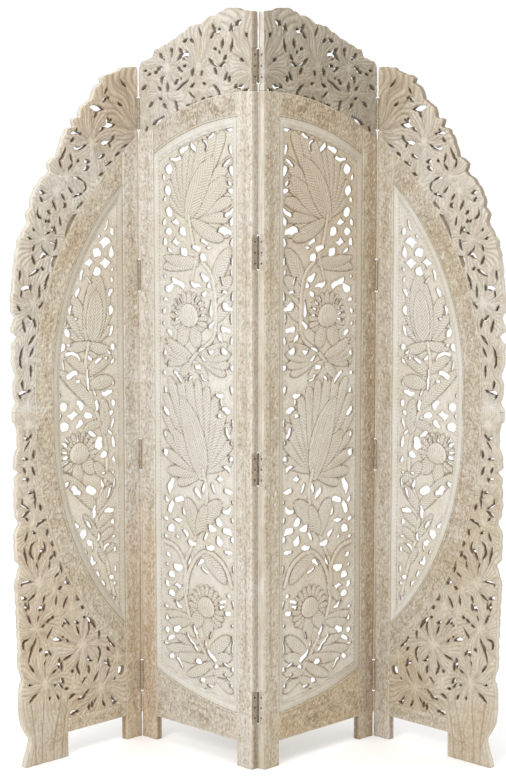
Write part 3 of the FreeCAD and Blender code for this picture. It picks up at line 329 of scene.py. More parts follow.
def mesh_field(F, R, front, back, rim=None, whole=None):
    """Front, back and walls of the region R > 0: arrays of points, faces and marks, in the panel's own plane.
    whole is the region before it was parted in two: along such a cut the surface runs on level."""
    R = R.copy()
    for edge in (R[0], R[-1], R[:, 0], R[:, -1]):
        np.minimum(edge, -0.5, out=edge)
    rows, cols = np.where((R > 0).any(1))[0], np.where((R > 0).any(0))[0]
    box = (slice(max(rows[0] - 1, 0), rows[-1] + 2), slice(max(cols[0] - 1, 0), cols[-1] + 2))
    R, T2, Z2, fr, bk = R[box], F.T[box], F.Z[box], front[box], back[box]
    full = R if whole is None else whole[box]
    extra = [a[box] for a in (F.stain, F.rub, F.lat, F.leaf, F.run, F.wall_shade)]
    ins = R > 0
    nz, nt = R.shape
    ic = np.full(R.shape, -1)
    n0 = int(ins.sum())
    ic[ins] = np.arange(n0)
    pts_t, pts_z, pts_f, pts_b = [T2[ins]], [Z2[ins]], [fr[ins]], [bk[ins]]
    marks = [[a[ins]] for a in extra]
    count = n0
    index = []
    for ax in (1, 0):
        if ax == 1:
            A, B = (slice(None), slice(None, -1)), (slice(None), slice(1, None))
        else:
            A, B = (slice(None, -1), slice(None)), (slice(1, None), slice(None))
        x = ins[A] != ins[B]
        ra, rb = R[A][x], R[B][x]
        s = np.clip(ra / (ra - rb), 0.07, 0.93)
        first = ins[A][x]
        idx = np.full(x.shape, -1)
        m = int(x.sum())
        idx[x] = count + np.arange(m)
        index.append(idx)
        count += m
        pts_t.append(T2[A][x] * (1 - s) + T2[B][x] * s)
        pts_z.append(Z2[A][x] * (1 - s) + Z2[B][x] * s)
        level = (full[A][x] > 0) & (full[B][x] > 0)
        run_f, run_b = fr[A][x] * (1 - s) + fr[B][x] * s, bk[A][x] * (1 - s) + bk[B][x] * s
        if rim is None:
            pts_f.append(run_f)
            pts_b.append(run_b)
        else:
            pts_f.append(np.where(level, run_f, np.where(first, fr[A][x], fr[B][x]) + rim))
            pts_b.append(np.where(level, run_b, np.where(first, bk[A][x], bk[B][x]) - rim))
        for k, a in enumerate(extra):
            v = np.where(first, a[A][x], a[B][x])
            # boundary vertices of a cut edge take at least half of the painted wall shade
            if k == 0 and rim is not None:
                v = np.where(level, v, np.maximum(v, 0.5 * F.wall_shade[box][A][x]))
            marks[k].append(v)
    ih, iv = index
    case = (ins[:-1, :-1] * 1 + ins[:-1, 1:] * 2 + ins[1:, 1:] * 4 + ins[1:, :-1] * 8)
    local = [ic[:-1, :-1], ic[:-1, 1:], ic[1:, 1:], ic[1:, :-1], ih[:-1, :], iv[:, 1:], ih[1:, :], iv[:, :-1]]
    tris, quads, walls = [], [], []
    for code, polys in TABLE.items():
        sel = case == code
        if not sel.any():
            continue
        for poly in polys:
            v = [local[k][sel] for k in poly]
            if len(poly) == 3:
                tris.append(np.stack(v, 1))
            elif len(poly) == 4:
                quads.append(np.stack(v, 1))
            else:
                quads.append(np.stack(v[:4], 1))
                tris.append(np.stack([v[0], v[3], v[4]], 1))
            for a, b in zip(poly, poly[1:] + poly[:1]):
                if a >= 4 and b >= 4:
                    walls.append(np.stack([local[a][sel], local[b][sel]], 1))
    tris = np.concatenate(tris) if tris else np.zeros((0, 3), int)
    quads = np.concatenate(quads) if quads else np.zeros((0, 4), int)
    walls = np.concatenate(walls)
    t, z, f, b = (np.concatenate(p) for p in (pts_t, pts_z, pts_f, pts_b))
    marks = [np.concatenate(m) for m in marks]
    b = np.maximum(b, f + 1.2)
    return dict(t=t, z=z, f=f, b=b, n0=n0, tris=tris, quads=quads, walls=walls, marks=marks)


def board(pan, name, M, mat, nodes):
    """One closed board object from a meshed field, in the frame, riding on the panel's body."""
    t, z, f, b = M["t"], M["z"], M["f"], M["b"]
    n = len(t)
    edge = np.unique(M["walls"])
    mid_of = np.full(n, -1)
    mid_of[edge] = np.arange(len(edge))
    P_front = pan.world(t, f, z)
    P_back = pan.world(t, b, z)
    P_mid = pan.world(t[edge], (f[edge] * 0.5 + b[edge] * 0.5), z[edge])
    co = np.concatenate([P_front, P_back, P_mid])
    tr, qd, wl = M["tris"], M["quads"], M["walls"]
    w0, w1 = wl[:, 0], wl[:, 1]
    wall_f = np.stack([w1, w0, 2 * n + mid_of[w0], 2 * n + mid_of[w1]], 1)
    wall_b = np.stack([2 * n + mid_of[w1], 2 * n + mid_of[w0], n + w0, n + w1], 1)
    back_t, back_q = tr[:, ::-1] + n, qd[:, ::-1] + n
    if pan.sign < 0:
        tri_all = [tr[:, ::-1], back_t[:, ::-1]]
        quad_all = [qd[:, ::-1], back_q[:, ::-1], wall_f[:, ::-1], wall_b[:, ::-1]]
    else:
        tri_all, quad_all = [tr, back_t], [qd, back_q, wall_f, wall_b]
    t0, t1, z0, z1 = t.min(), t.max(), z.min(), z.max()
    u = (t - t0) / (t1 - t0) * 0.46 + 0.02
    v = (z - z0) / (z1 - z0) * 0.96 + 0.02
    # the walls unroll a little way out from the outline in the map
    eu, ev = np.zeros(n), np.zeros(n)
    dt, dz = t[w1] - t[w0], z[w1] - z[w0]
    ln = np.maximum(np.hypot(dt, dz), 1e-6)
    for k in (w0, w1):
        np.add.at(eu, k, dz / ln)
        np.add.at(ev, k, -dt / ln)
    nrm = np.maximum(np.hypot(eu, ev), 1e-6)
    ou, ov = eu / nrm * 1.6 / (t1 - t0) * 0.46, ev / nrm * 1.6 / (z1 - z0) * 0.96
    uv_f, uv_b = np.stack([u, v], 1), np.stack([u + 0.5, v], 1)
    uv_mf = np.stack([u + ou, v + ov], 1)
    uv_mb = np.stack([u + ou + 0.5, v + ov], 1)

    def uv_of(faces, kind):
        if kind == "front":
            return uv_f[faces]
        if kind == "back":
            return uv_b[faces - n]
        mid = faces >= 2 * n
        src = np.where(mid, edge[np.where(mid, faces - 2 * n, 0)], np.where(faces >= n, faces - n, faces))
        src = np.where(mid, src, np.where(faces >= n, faces - n, faces))
        a = uv_f if kind == "wall_f" else uv_b
        m = uv_mf if kind == "wall_f" else uv_mb
        return np.where(mid[..., None], m[src], a[src])

    uvs = [uv_of(x, k).reshape(-1, 2) for x, k in zip(tri_all, ("front", "back"))]
    uvs += [uv_of(x, k).reshape(-1, 2) for x, k in zip(quad_all, ("front", "back", "wall_f", "wall_b"))]
    loops = np.concatenate([x.reshape(-1) for x in tri_all + quad_all])
    sizes = np.concatenate([np.full(sum(len(x) for x in tri_all), 3), np.full(sum(len(x) for x in quad_all), 4)])
    starts = np.concatenate([[0], np.cumsum(sizes)[:-1]])
    me = bpy.data.meshes.new(name)
    me.vertices.add(len(co))
    me.vertices.foreach_set("co", co.astype(np.float32).ravel())
    me.loops.add(len(loops))
    me.loops.foreach_set("vertex_index", loops.astype(np.int32))
    me.polygons.add(len(sizes))
    me.polygons.foreach_set("loop_start", starts.astype(np.int32))
    me.polygons.foreach_set("use_smooth", np.ones(len(sizes), bool))
    me.update(calc_edges=True)
    layer = me.uv_layers.new(name="OFBake")
    layer.data.foreach_set("uv", np.concatenate(uvs).astype(np.float32).ravel())
    stain, rub, lat, leaf, run, wall_shade = M["marks"]
    none = np.zeros(len(edge))
    # painted shade: the left middle leaf's fold edge is darker on its rear face and the rear half of its wall; side
    # marks the edge walls that take a material's edge tone
    fold = (t > 397.0) & (not pan.outer)
    rear_painted_shade = np.where(fold & (pan.side < 0), np.maximum(stain, 0.45), stain)
    bare = fold | ((wall_shade < 0.5) & (t > 20.0) & pan.outer)
    # the mid ring of each wall carries the painted wall shade in the stain marks
    for label, arr, rear, mid in (("stain", stain, rear_painted_shade, wall_shade[edge]), ("rub", rub, rub, none + 0.1), ("lat", lat, lat, none),
                                  ("leaf", leaf, leaf, none), ("run", run, run, none), ("side", t * 0.0, t * 0.0, bare[edge] * 1.0)):
        at = me.attributes.new(label, "FLOAT", "POINT")
        at.data.foreach_set("value", np.concatenate([arr, rear, mid]).astype(np.float32))
    me.set_sharp_from_angle(angle=math.radians(52))
    me.materials.append(TONED.get(name, TONED.get((pan.key, mat.name), mat)))
    o = bpy.data.objects.new(name, me)
    scene.collection.objects.link(o)
    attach(o, pan.body)
    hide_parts(*nodes)
    return o


def marks(F, wide=4, cav=0.42, ridge=0.5):
    """Stain that stays in the recesses, and paint rubbed off the high edges."""
    low = blur(F.H, wide) - F.H
    F.stain = np.clip(low * cav - 0.05, 0, 1)
    F.stain = np.maximum(F.stain, F.mark)
    F.rub = np.maximum(np.clip((F.H - blur(F.H, 2)) * ridge, 0, 1), F.tint)


# ---------------------------------------------------------------- materials
def nodes_of(mat):
    mat.use_nodes = True
    nt = mat.node_tree
    nt.nodes.clear()
    out = nt.nodes.new("ShaderNodeOutputMaterial")
    bsdf = nt.nodes.new("ShaderNodeBsdfPrincipled")
    nt.links.new(bsdf.outputs["BSDF"], out.inputs["Surface"])
    return nt, bsdf


def math_node(nt, op, a, b=None, c=None, clamp=False):
    m = nt.nodes.new("ShaderNodeMath")
    m.operation = op
    m.use_clamp = clamp
    for k, v in enumerate((a, b, c)):
        if v is None:
            continue
        if isinstance(v, (int, float)):
            m.inputs[k].default_value = v
        else:
            nt.links.new(v, m.inputs[k])
    return m.outputs[0]


def mix_node(nt, fac, a, b):
    m = nt.nodes.new("ShaderNodeMix")
    m.data_type = "RGBA"
    for sock, v in ((m.inputs[0], fac), (m.inputs[6], a), (m.inputs[7], b)):
        if isinstance(v, (int, float)):
            sock.default_value = v
        elif isinstance(v, tuple):
            sock.default_value = (*v, 1.0)
        else:
            nt.links.new(v, sock)
    return m.outputs[2]


def noise(nt, vec, scale, detail=4.0, rough=0.55):
    n = nt.nodes.new("ShaderNodeTexNoise")
    n.inputs["Scale"].default_value = scale
    n.inputs["Detail"].default_value = detail
    n.inputs["Roughness"].default_value = rough
    nt.links.new(vec, n.inputs["Vector"])
    return n.outputs["Fac"]


def mapped(nt, src, scale):
    m = nt.nodes.new("ShaderNodeMapping")
    m.inputs["Scale"].default_value = scale
    nt.links.new(src, m.inputs["Vector"])
    return m.outputs["Vector"]


def step(nt, v, lo, hi):
    m = nt.nodes.new("ShaderNodeMapRange")
    m.interpolation_type = "SMOOTHSTEP"
    m.inputs["From Min"].default_value = lo
    m.inputs["From Max"].default_value = hi
    nt.links.new(v, m.inputs["Value"])
    return m.outputs["Result"]


def srgb(r, g, b):
    return tuple((c / 255 / 12.92 if c / 255 <= 0.04045 else ((c / 255 + 0.055) / 1.055) ** 2.4) for c in (r, g, b))


def attr(nt, name):
    a = nt.nodes.new("ShaderNodeAttribute")
    a.attribute_name = name
    return a.outputs["Fac"]


def washed(name, wash, thin, brown, tan=0.35, worn=0.3, veins=0.35, grain=(1.0, 1.0, 0.06), dots=0.16, carved=True,
           pale=(216, 214, 208), rise=None, edge=None):
    """White-washed wood: streaky paint over tan wood, brown left in the cuts, paint rubbed off the ridges."""
    mat = bpy.data.materials.new(name)
    nt, bsdf = nodes_of(mat)
    tc = nt.nodes.new("ShaderNodeTexCoord")
    obj = tc.outputs["Object"]
    PALE = srgb(*pale)
    broad = noise(nt, obj, 5.5, 4.0, 0.55)
    patch = noise(nt, obj, 24.0, 5.0, 0.65)
    streak = noise(nt, mapped(nt, obj, grain), 190.0, 5.0, 0.62)
    fine = noise(nt, obj, 520.0, 3.0, 0.6)
    grit = noise(nt, obj, 110.0, 4.0, 0.68)
    speck = noise(nt, mapped(nt, obj, (1.0, 1.0, 0.55)), 205.0, 2.0, 0.5)
    thinness = math_node(nt, "ADD", math_node(nt, "MULTIPLY", patch, 0.45),
                         math_node(nt, "ADD", math_node(nt, "MULTIPLY", streak, 0.35), math_node(nt, "MULTIPLY", grit, 0.40)))
    bare = math_node(nt, "MULTIPLY", step(nt, thinness, 0.52, 0.80), worn * 2.4, clamp=True)
    col = mix_node(nt, math_node(nt, "MULTIPLY", step(nt, broad, 0.38, 0.66), tan), wash, thin)
    # rise mixes in a second tone by height, place and patches; on the right middle leaf's SHADE_ copies it paints more
    # shade
    if rise:
        xyz = nt.nodes.new("ShaderNodeSeparateXYZ")
        nt.links.new(obj, xyz.inputs["Vector"])
        for one in (rise if isinstance(rise[0], tuple) else (rise,)):
            lo, hi, amount, tone, kx, kz, kn = one if len(one) == 7 else (*one, 0.0, 1.0, 0.12)
            height = math_node(nt, "MULTIPLY", patch, kn)
            for k, axis in ((kx, "X"), (kz, "Z")):
                if k:
                    height = math_node(nt, "MULTIPLY_ADD", xyz.outputs[axis], k, height)
            col = mix_node(nt, math_node(nt, "MULTIPLY", step(nt, height, lo, hi), amount), col, srgb(*tone))
    col = mix_node(nt, bare, col, thin)
    col = mix_node(nt, math_node(nt, "MULTIPLY", step(nt, fine, 0.48, 0.72), 0.22), col, brown)
    col = mix_node(nt, math_node(nt, "MULTIPLY", step(nt, speck, 0.52, 0.70), dots), col, brown)
    col = mix_node(nt, math_node(nt, "MULTIPLY", step(nt, math_node(nt, "SUBTRACT", 1.0, speck), 0.54, 0.72), dots * 1.6, clamp=True), col, PALE)
    col = mix_node(nt, math_node(nt, "MULTIPLY", step(nt, grit, 0.55, 0.75), 0.30), col, PALE)
    if carved:
        rub, stain, lat, leaf = attr(nt, "rub"), attr(nt, "stain"), attr(nt, "lat"), attr(nt, "leaf")
        col = mix_node(nt, math_node(nt, "MULTIPLY", math_node(nt, "MULTIPLY", rub, step(nt, grit, 0.3, 0.7)), 0.55, clamp=True), col, thin)
        beat = math_node(nt, "COSINE", math_node(nt, "MULTIPLY", attr(nt, "run"), 2 * math.pi / 9.0))
        line = math_node(nt, "MULTIPLY", step(nt, math_node(nt, "MULTIPLY", beat, -1.0), 0.15, 1.0), leaf)
        # the crowns of the side veins are painted pale as a painted highlight
        crown_highlight = math_node(nt, "MULTIPLY", step(nt, beat, 0.35, 1.0), leaf)
        ribs = math_node(nt, "SINE", math_node(nt, "MULTIPLY", lat, 2 * math.pi / 7.0))
        line = math_node(nt, "ADD", line, math_node(nt, "MULTIPLY", math_node(nt, "MULTIPLY", step(nt, ribs, 0.4, 1.0), leaf), 0.5))
        col = mix_node(nt, math_node(nt, "MULTIPLY", crown_highlight, veins * 1.5, clamp=True), col, PALE)
        col = mix_node(nt, math_node(nt, "MULTIPLY", line, veins, clamp=True), col, brown)
        # stain in the recesses and painted shade on the walls, mixed to brown
        darkening = math_node(nt, "MULTIPLY", stain, math_node(nt, "ADD", math_node(nt, "MULTIPLY", grit, 0.9), 0.50), clamp=True)
        col = mix_node(nt, darkening, col, brown)
    # the edge walls marked by side take their own tone; a third entry darkens them above a height as painted shade
    if edge:
        tone = mix_node(nt, step(nt, math_node(nt, "ADD", math_node(nt, "MULTIPLY", streak, 0.6), math_node(nt, "MULTIPLY", patch, 0.4)), 0.38, 0.62),
                        srgb(*edge[0]), srgb(*edge[1]))
        if len(edge) == 3:
            lo, hi, shaded_wall_tone = edge[2]
            up = nt.nodes.new("ShaderNodeSeparateXYZ")
            nt.links.new(obj, up.inputs["Vector"])
            tone = mix_node(nt, step(nt, math_node(nt, "MULTIPLY_ADD", patch, 0.10, up.outputs["Z"]), lo, hi), tone, srgb(*shaded_wall_tone))
        col = mix_node(nt, step(nt, attr(nt, "side"), 0.05, 0.40), col, tone)
    nt.links.new(col, bsdf.inputs["Base Color"])
    rough = math_node(nt, "ADD", math_node(nt, "MULTIPLY", grit, 0.22), 0.56)
    nt.links.new(rough, bsdf.inputs["Roughness"])
    bsdf.inputs["Specular IOR Level"].default_value = 0.25
    high = math_node(nt, "ADD", math_node(nt, "MULTIPLY", streak, 0.5), math_node(nt, "MULTIPLY", fine, 0.45))
    if carved:
        high = math_node(nt, "SUBTRACT", high, math_node(nt, "MULTIPLY", line, 0.8))
    bump = nt.nodes.new("ShaderNodeBump")
    bump.inputs["Strength"].default_value = 0.6
    bump.inputs["Distance"].default_value = 0.0011
    nt.links.new(high, bump.inputs["Height"])
    nt.links.new(bump.outputs["Normal"], bsdf.inputs["Normal"])
    return mat


M_CARVED = washed("wash_carved", srgb(204, 200, 191), srgb(184, 172, 150), srgb(98, 72, 42), tan=0.50, worn=0.24, veins=0.0,
                  rise=(-0.10, 0.02, 0.75, (182, 174, 160), 1.0, 0.0, 0.05))
M_LOWER = washed("wash_lower", srgb(199, 191, 175), srgb(179, 162, 135), srgb(98, 72, 42), tan=0.55, worn=0.28, veins=0.0, pale=(212, 208, 198),
                 rise=(0.64, 0.92, 0.8, (203, 198, 188)))
M_FRET = washed("wash_fret", srgb(209, 206, 198), srgb(191, 180, 159), srgb(122, 99, 70), tan=0.36, worn=0.24, veins=0.26)
M_FRAME = washed("wash_frame", srgb(209, 205, 196), srgb(188, 174, 150), srgb(112, 88, 58), tan=0.45, worn=0.30, veins=0.0, dots=0.46)
M_RAIL = washed("wash_rail", srgb(197, 191, 179), srgb(178, 162, 135), srgb(112, 86, 52), tan=0.46, worn=0.20, veins=0.0, dots=0.46, pale=(213, 209, 200))
M_BEAD = washed("wash_bead", srgb(208, 206, 199), srgb(192, 181, 160), srgb(104, 82, 58), tan=0.35, worn=0.20, veins=0.0, dots=0.10)
M_BARE = washed("bare_wood", srgb(124, 100, 74), srgb(98, 76, 52), srgb(74, 56, 38), worn=0.4, carved=False)
# the wash is warmer on some leaves of the screen and cooler on the left middle leaf; the SHADE_ copies for the right
# middle leaf are darker as painted shade, since that leaf faces away from the key light, and their rise terms paint
# more shade towards its side fold and its top, while their edge walls keep a paler unshaded tone
SHADE_CREST = washed("wash_crest_shaded", srgb(168, 160, 144), srgb(150, 136, 112), srgb(70, 50, 28), tan=0.50, worn=0.24, veins=0.0, pale=(190, 183, 168),
                     edge=((206, 203, 196), (186, 179, 165)))
SHADE_FRET = washed("wash_fret_thin", srgb(207, 202, 191), srgb(186, 171, 146), srgb(122, 97, 67), tan=0.46, worn=0.26, veins=0.18, pale=(212, 208, 198),
                    rise=(1.04, 1.44, 0.9, (180, 166, 144)))
SHADE_FRAME = washed("wash_frame_shaded", srgb(194, 185, 168), srgb(168, 147, 117), srgb(104, 76, 46), tan=0.55, worn=0.36, veins=0.0, dots=0.46, pale=(208, 202, 189),
                     rise=(0.272, 0.300, 0.75, (158, 138, 110), 1.0, 0.0, 0.016))
SHADE_EDGE = washed("wash_edge_shaded", srgb(200, 193, 178), srgb(178, 161, 133), srgb(112, 88, 58), tan=0.50, worn=0.34, veins=0.0, dots=0.46, pale=(210, 206, 197),
                    rise=(1.24, 1.54, 0.65, (170, 160, 142)), edge=((201, 197, 188), (181, 171, 151)))
SHADE_BEAD = washed("wash_bead_shaded", srgb(196, 191, 179), srgb(178, 163, 138), srgb(98, 76, 52), tan=0.40, worn=0.22, veins=0.0, dots=0.10, pale=(208, 204, 194),
                    rise=(0.17, 0.27, 0.65, (168, 158, 140), 1.0, 0.0, 0.03))
WARM_BEAD = washed("wash_bead_warm", srgb(192, 186, 173), srgb(174, 160, 136), srgb(98, 76, 52), tan=0.40, worn=0.22, veins=0.0, dots=0.10, pale=(204, 199, 188))
WARM_BORDER = washed("wash_border_warm", srgb(204, 200, 191), srgb(184, 172, 150), srgb(98, 72, 42), tan=0.50, worn=0.24, veins=0.0, rise=(1.52, 1.66, 0.8, (182, 164, 140)),
                     edge=((206, 201, 190), (186, 177, 160)))
WARM_FRET = washed("wash_fret_warm", srgb(208, 202, 189), srgb(190, 177, 153), srgb(122, 99, 70), tan=0.42, worn=0.25, veins=0.24, pale=(214, 209, 197))
WARM_RIGHT = washed("wash_border_tan", srgb(204, 200, 191), srgb(184, 172, 150), srgb(98, 72, 42), tan=0.50, worn=0.24, veins=0.0,
                    rise=(1.14, 1.25, 0.85, (172, 156, 133), -1.2, 1.0, 0.08),
                    edge=((205, 199, 187), (188, 178, 160), (1.16, 1.50, (136, 125, 107))))
LOWER_LEFT = washed("wash_lower_left", srgb(206, 196, 179), srgb(185, 166, 137), srgb(98, 72, 42), tan=0.55, worn=0.28, veins=0.0, pale=(214, 209, 197),
                    rise=(0.64, 0.92, 0.8, (204, 199, 188)), edge=((202, 196, 183), (182, 172, 154)))
LOWER_RIGHT = washed("wash_lower_right", srgb(199, 191, 175), srgb(179, 162, 135), srgb(98, 72, 42), tan=0.55, worn=0.28, veins=0.0, pale=(212, 208, 198),
                     rise=(0.64, 0.92, 0.8, (203, 198, 188)), edge=((198, 191, 178), (180, 169, 150)))
RAIL_RIGHT = washed("wash_rail_right", srgb(193, 186, 172), srgb(172, 156, 128), srgb(112, 86, 52), tan=0.48, worn=0.17, veins=0.0, dots=0.46, pale=(210, 205, 195))
RAIL_WARM = washed("wash_rail_warm", srgb(199, 191, 175), srgb(176, 158, 127), srgb(114, 86, 50), tan=0.52, worn=0.18, veins=0.0, dots=0.46, pale=(213, 208, 197))
COOL_FRET = washed("wash_fret_cool", srgb(209, 206, 198), srgb(191, 180, 159), srgb(122, 99, 70), tan=0.36, worn=0.22, veins=0.26,
                   rise=((0.60, 0.86, 0.75, (212, 211, 204)), (1.22, 1.38, 0.8, (204, 199, 187))))
COOL_STILE = washed("wash_frame_cool", srgb(209, 205, 196), srgb(188, 172, 145), srgb(116, 86, 50), tan=0.45, worn=0.28, veins=0.0, dots=0.46,
                    rise=((-0.60, -0.36, 0.50, (196, 168, 130), 0.0, -1.0, 0.16), (0.64, 0.86, 0.75, (212, 210, 203))))
RAIL_LEFT = washed("wash_rail_left", srgb(199, 193, 181), srgb(180, 165, 139), srgb(112, 86, 52), tan=0.46, worn=0.17, veins=0.0, dots=0.46, pale=(214, 210, 201),
                   rise=(1.24, 1.50, 0.8, (196, 191, 180)))
SHADE_RAIL = washed("wash_rail_shaded", srgb(193, 178, 151), srgb(172, 151, 119), srgb(104, 78, 46), tan=0.50, worn=0.18, veins=0.0, dots=0.46, pale=(208, 198, 179),
                    rise=(1.24, 1.50, 0.8, (178, 168, 150)))
WARM_FOOT = washed("wash_frame_warm", srgb(209, 205, 196), srgb(188, 172, 145), srgb(116, 86, 50), tan=0.45, worn=0.30, veins=0.0, dots=0.46,
                   rise=(-0.60, -0.36, 0.50, (196, 168, 130), 0.0, -1.0, 0.16))
TONED = {("right_centre", "wash_carved"): SHADE_CREST, ("right_centre", "wash_fret"): SHADE_FRET, ("right_centre", "wash_frame"): SHADE_FRAME,
         ("right_centre", "wash_rail"): SHADE_RAIL, ("right_centre", "wash_bead"): SHADE_BEAD, ("right_outer", "wash_frame"): M_RAIL,
         ("left_outer", "wash_carved"): WARM_BORDER, ("right_outer", "wash_carved"): WARM_RIGHT, ("left_outer", "wash_bead"): WARM_BEAD,
         ("left_outer", "wash_fret"): WARM_FRET, ("left_outer", "wash_lower"): LOWER_LEFT, ("right_outer", "wash_lower"): LOWER_RIGHT,
         ("right_outer", "wash_rail"): RAIL_RIGHT, ("left_outer", "wash_rail"): RAIL_WARM, ("left_centre", "wash_fret"): COOL_FRET,
         ("left_centre", "wash_rail"): RAIL_LEFT, "left_centre_fold_stile_work": COOL_STILE, "left_outer_fold_stile_work": WARM_FOOT,
         "left_outer_trunk_foot_work": LOWER_RIGHT,
         "right_centre_centre_stile_work": SHADE_EDGE}


def metal(name, base, dark, rough, axis=None):
    """Dulled metal; axis is a barrel's place in x and y, round which the recess is darkened as painted shade."""
    mat = bpy.data.materials.new(name)
    nt, bsdf = nodes_of(mat)
    tc = nt.nodes.new("ShaderNodeTexCoord")
    n = noise(nt, tc.outputs["Object"], 240.0, 5.0, 0.65)
    brush = noise(nt, mapped(nt, tc.outputs["Object"], (1.0, 1.0, 0.05)), 900.0, 3.0, 0.5)
    col = mix_node(nt, step(nt, n, 0.38, 0.70), base, dark)
    if axis:
        xyz = nt.nodes.new("ShaderNodeSeparateXYZ")
        nt.links.new(tc.outputs["Object"], xyz.inputs["Vector"])
        # painted shade in the knuckle gap round the barrel axis
        off = [math_node(nt, "SUBTRACT", xyz.outputs[k], v) for k, v in zip("XY", axis)]
        far = math_node(nt, "SQRT", math_node(nt, "ADD", math_node(nt, "MULTIPLY", off[0], off[0]), math_node(nt, "MULTIPLY", off[1], off[1])))
        col = mix_node(nt, step(nt, math_node(nt, "MULTIPLY_ADD", n, 0.002, far), 0.0026, 0.0050), srgb(100, 86, 70), col)
    nt.links.new(col, bsdf.inputs["Base Color"])
    bsdf.inputs["Metallic"].default_value = 0.35
    nt.links.new(math_node(nt, "ADD", math_node(nt, "MULTIPLY", n, 0.3), rough), bsdf.inputs["Roughness"])
    bump = nt.nodes.new("ShaderNodeBump")
    bump.inputs["Strength"].default_value = 0.35
    bump.inputs["Distance"].default_value = 0.0004
    nt.links.new(brush, bump.inputs["Height"])
    nt.links.new(bump.outputs["Normal"], bsdf.inputs["Normal"])
    return mat


M_STEEL = metal("dulled_steel", srgb(182, 171, 153), srgb(132, 119, 100), 0.36)
M_SCREW = metal("screw_steel", srgb(96, 88, 80), srgb(52, 46, 40), 0.32)
AXIS = (0.0, MIDY / 1000.0)
# lit and shaded copies of one steel for the middle hinge leaves: painted light and shade
M_SHADED_STEEL = metal("stained_steel", srgb(168, 154, 134), srgb(122, 106, 86), 0.38, AXIS)
M_LIT_STEEL = metal("lit_steel", srgb(210, 204, 195), srgb(166, 155, 140), 0.32, AXIS)
# the middle pins are dark as painted shade in the knuckle gap
M_SHADED_PIN = metal("shaded_pins", srgb(108, 94, 78), srgb(66, 56, 44), 0.36)
# a paler, lit copy of the screw steel for the right middle leaf: painted light
M_LIT_SCREW = metal("lit_screws", srgb(132, 124, 114), srgb(84, 76, 66), 0.32)


# ---------------------------------------------------------------- frame members: stiles and rails with a shallow vine
def vine(F, path, amp, period, leaf_len, leaf_hw, deep):
    """Cut a winding vine with leaves along a line: only its outlines, as shallow lines."""
    pts = curve(path) if len(path) > 2 else curve(path, 60)
    seg = np.diff(pts, axis=0)
    ln = np.hypot(seg[:, 0], seg[:, 1])
    s = np.concatenate([[0], np.cumsum(ln)])
    total = s[-1]

    def at(v):
        v = min(max(v, 0.0), total)
        x, z = np.interp(v, s, pts[:, 0]), np.interp(v, s, pts[:, 1])
        k = min(np.searchsorted(s, v, side="right") - 1, len(seg) - 1)
        d = seg[k] / max(ln[k], 1e-6)
        return np.array([x, z]), d, np.array([-d[1], d[0]])

    steps = np.arange(0, total, 6.0)
    line = []
    for v in steps:
        p, d, n = at(v)
        line.append(p + n * amp * math.sin(2 * math.pi * v / period))
    line = np.array(line)

    def cut(sl, sdf, width, depth):
        g = np.exp(-((sdf) / width) ** 2)
        F.H[sl] -= depth * g
        np.maximum(F.mark[sl], 0.30 * g, out=F.mark[sl])

    for k in range(0, len(line) - 8, 8):
        part = line[k:k + 9]
        sl = F.window(part[:, 0].min() - 8, part[:, 0].max() + 8, part[:, 1].min() - 8, part[:, 1].max() + 8)
        if sl is None:
            continue
        d, sh, lat = along(F.T[sl], F.Z[sl], part)
        cut(sl, d, 1.5, deep)
    half = period / 2
    k = 0
    v = half * 0.5
    while v < total - 6:
        p, d, n = at(v)
        sgn = 1 if k % 2 == 0 else -1
        root = p + n * amp * math.sin(2 * math.pi * v / period)
        for turn, size in ((0.0, 1.0), (0.8, 0.72), (-0.8, 0.72)):
            ang = math.atan2(-sgn * n[1] + 0.5 * d[1], -sgn * n[0] + 0.5 * d[0]) + turn
            e = np.array([math.cos(ang), math.sin(ang)])
            a, b = root + e * 2.5, root + e * leaf_len * size
            sl = F.window(min(a[0], b[0]) - 10, max(a[0], b[0]) + 10, min(a[1], b[1]) - 10, max(a[1], b[1]) + 10)
            if sl is None:
                continue
            dd, sh, lat = along(F.T[sl], F.Z[sl], curve([a, b], 2))
            w = leaf_hw * size * np.sin(np.clip(sh, 0.02, 0.98) * math.pi) ** 0.7
            cut(sl, dd - w, 1.3, deep)
            F.H[sl] += np.where(dd < w, 0.35, 0.0)
        k += 1
        v += half


def ease(F, R, r=1.6, drop=1.3):
    F.H -= drop * np.exp(-(np.maximum(R, 0) / r) ** 2)
    np.maximum(F.mark, 0.0, out=F.mark)


def wear_edges(F, R, wide=3.0, amount=0.8):
    F.rub = np.maximum(F.rub, amount * np.exp(-(np.maximum(R, 0) / wide) ** 2))


def flat_piece(pans, F, R, name, mat=None, d0=0.0, d1=T, rim=None, wall_shade=0.35, both=True):
    """Mesh a frame member once and set it in both halves of the screen."""
    front = np.where(F.lead > 0, np.maximum(d0 - F.H - F.lead, -2.25), d0 - F.H)
    back = d1 + (F.H if both else 0.0)
    back = np.where(F.lip > 0, np.minimum(back + F.lip, T + 2.25), back)
    # the walls take this much painted shade
    F.wall_shade[:] = wall_shade
    M = mesh_field(F, R, front, back, rim)
    for pan in pans:
        board(pan, pan.key + "_" + name + "_work", M, mat or M_FRAME, [pan.key + "_" + name])


def rng(seed):
    return np.random.RandomState(seed)


def hand_marks(F, seed, amount=0.25):
    """Slow unevenness left by the plane and the knife."""
    r = rng(seed)
    A = blur(r.normal(size=F.H.shape), 6)
    F.H += amount * A / (A.std() + 1e-9) * 0.35


def grained(run, across, seed, long=64.0, wide=3.2):
    """Unevenness drawn out along a member's length."""
    a, b = run / long, across / wide
    a, b = a - a.min(), b - b.min()
    N = rng(seed).normal(size=(int(a.max()) + 3, int(b.max()) + 3))
    i, j = a.astype(int), b.astype(int)
    p, q = a - i, b - j
    p, q = p * p * (3 - 2 * p), q * q * (3 - 2 * q)
    return (N[i, j] * (1 - p) + N[i + 1, j] * p) * (1 - q) + (N[i, j + 1] * (1 - p) + N[i + 1, j + 1] * p) * q


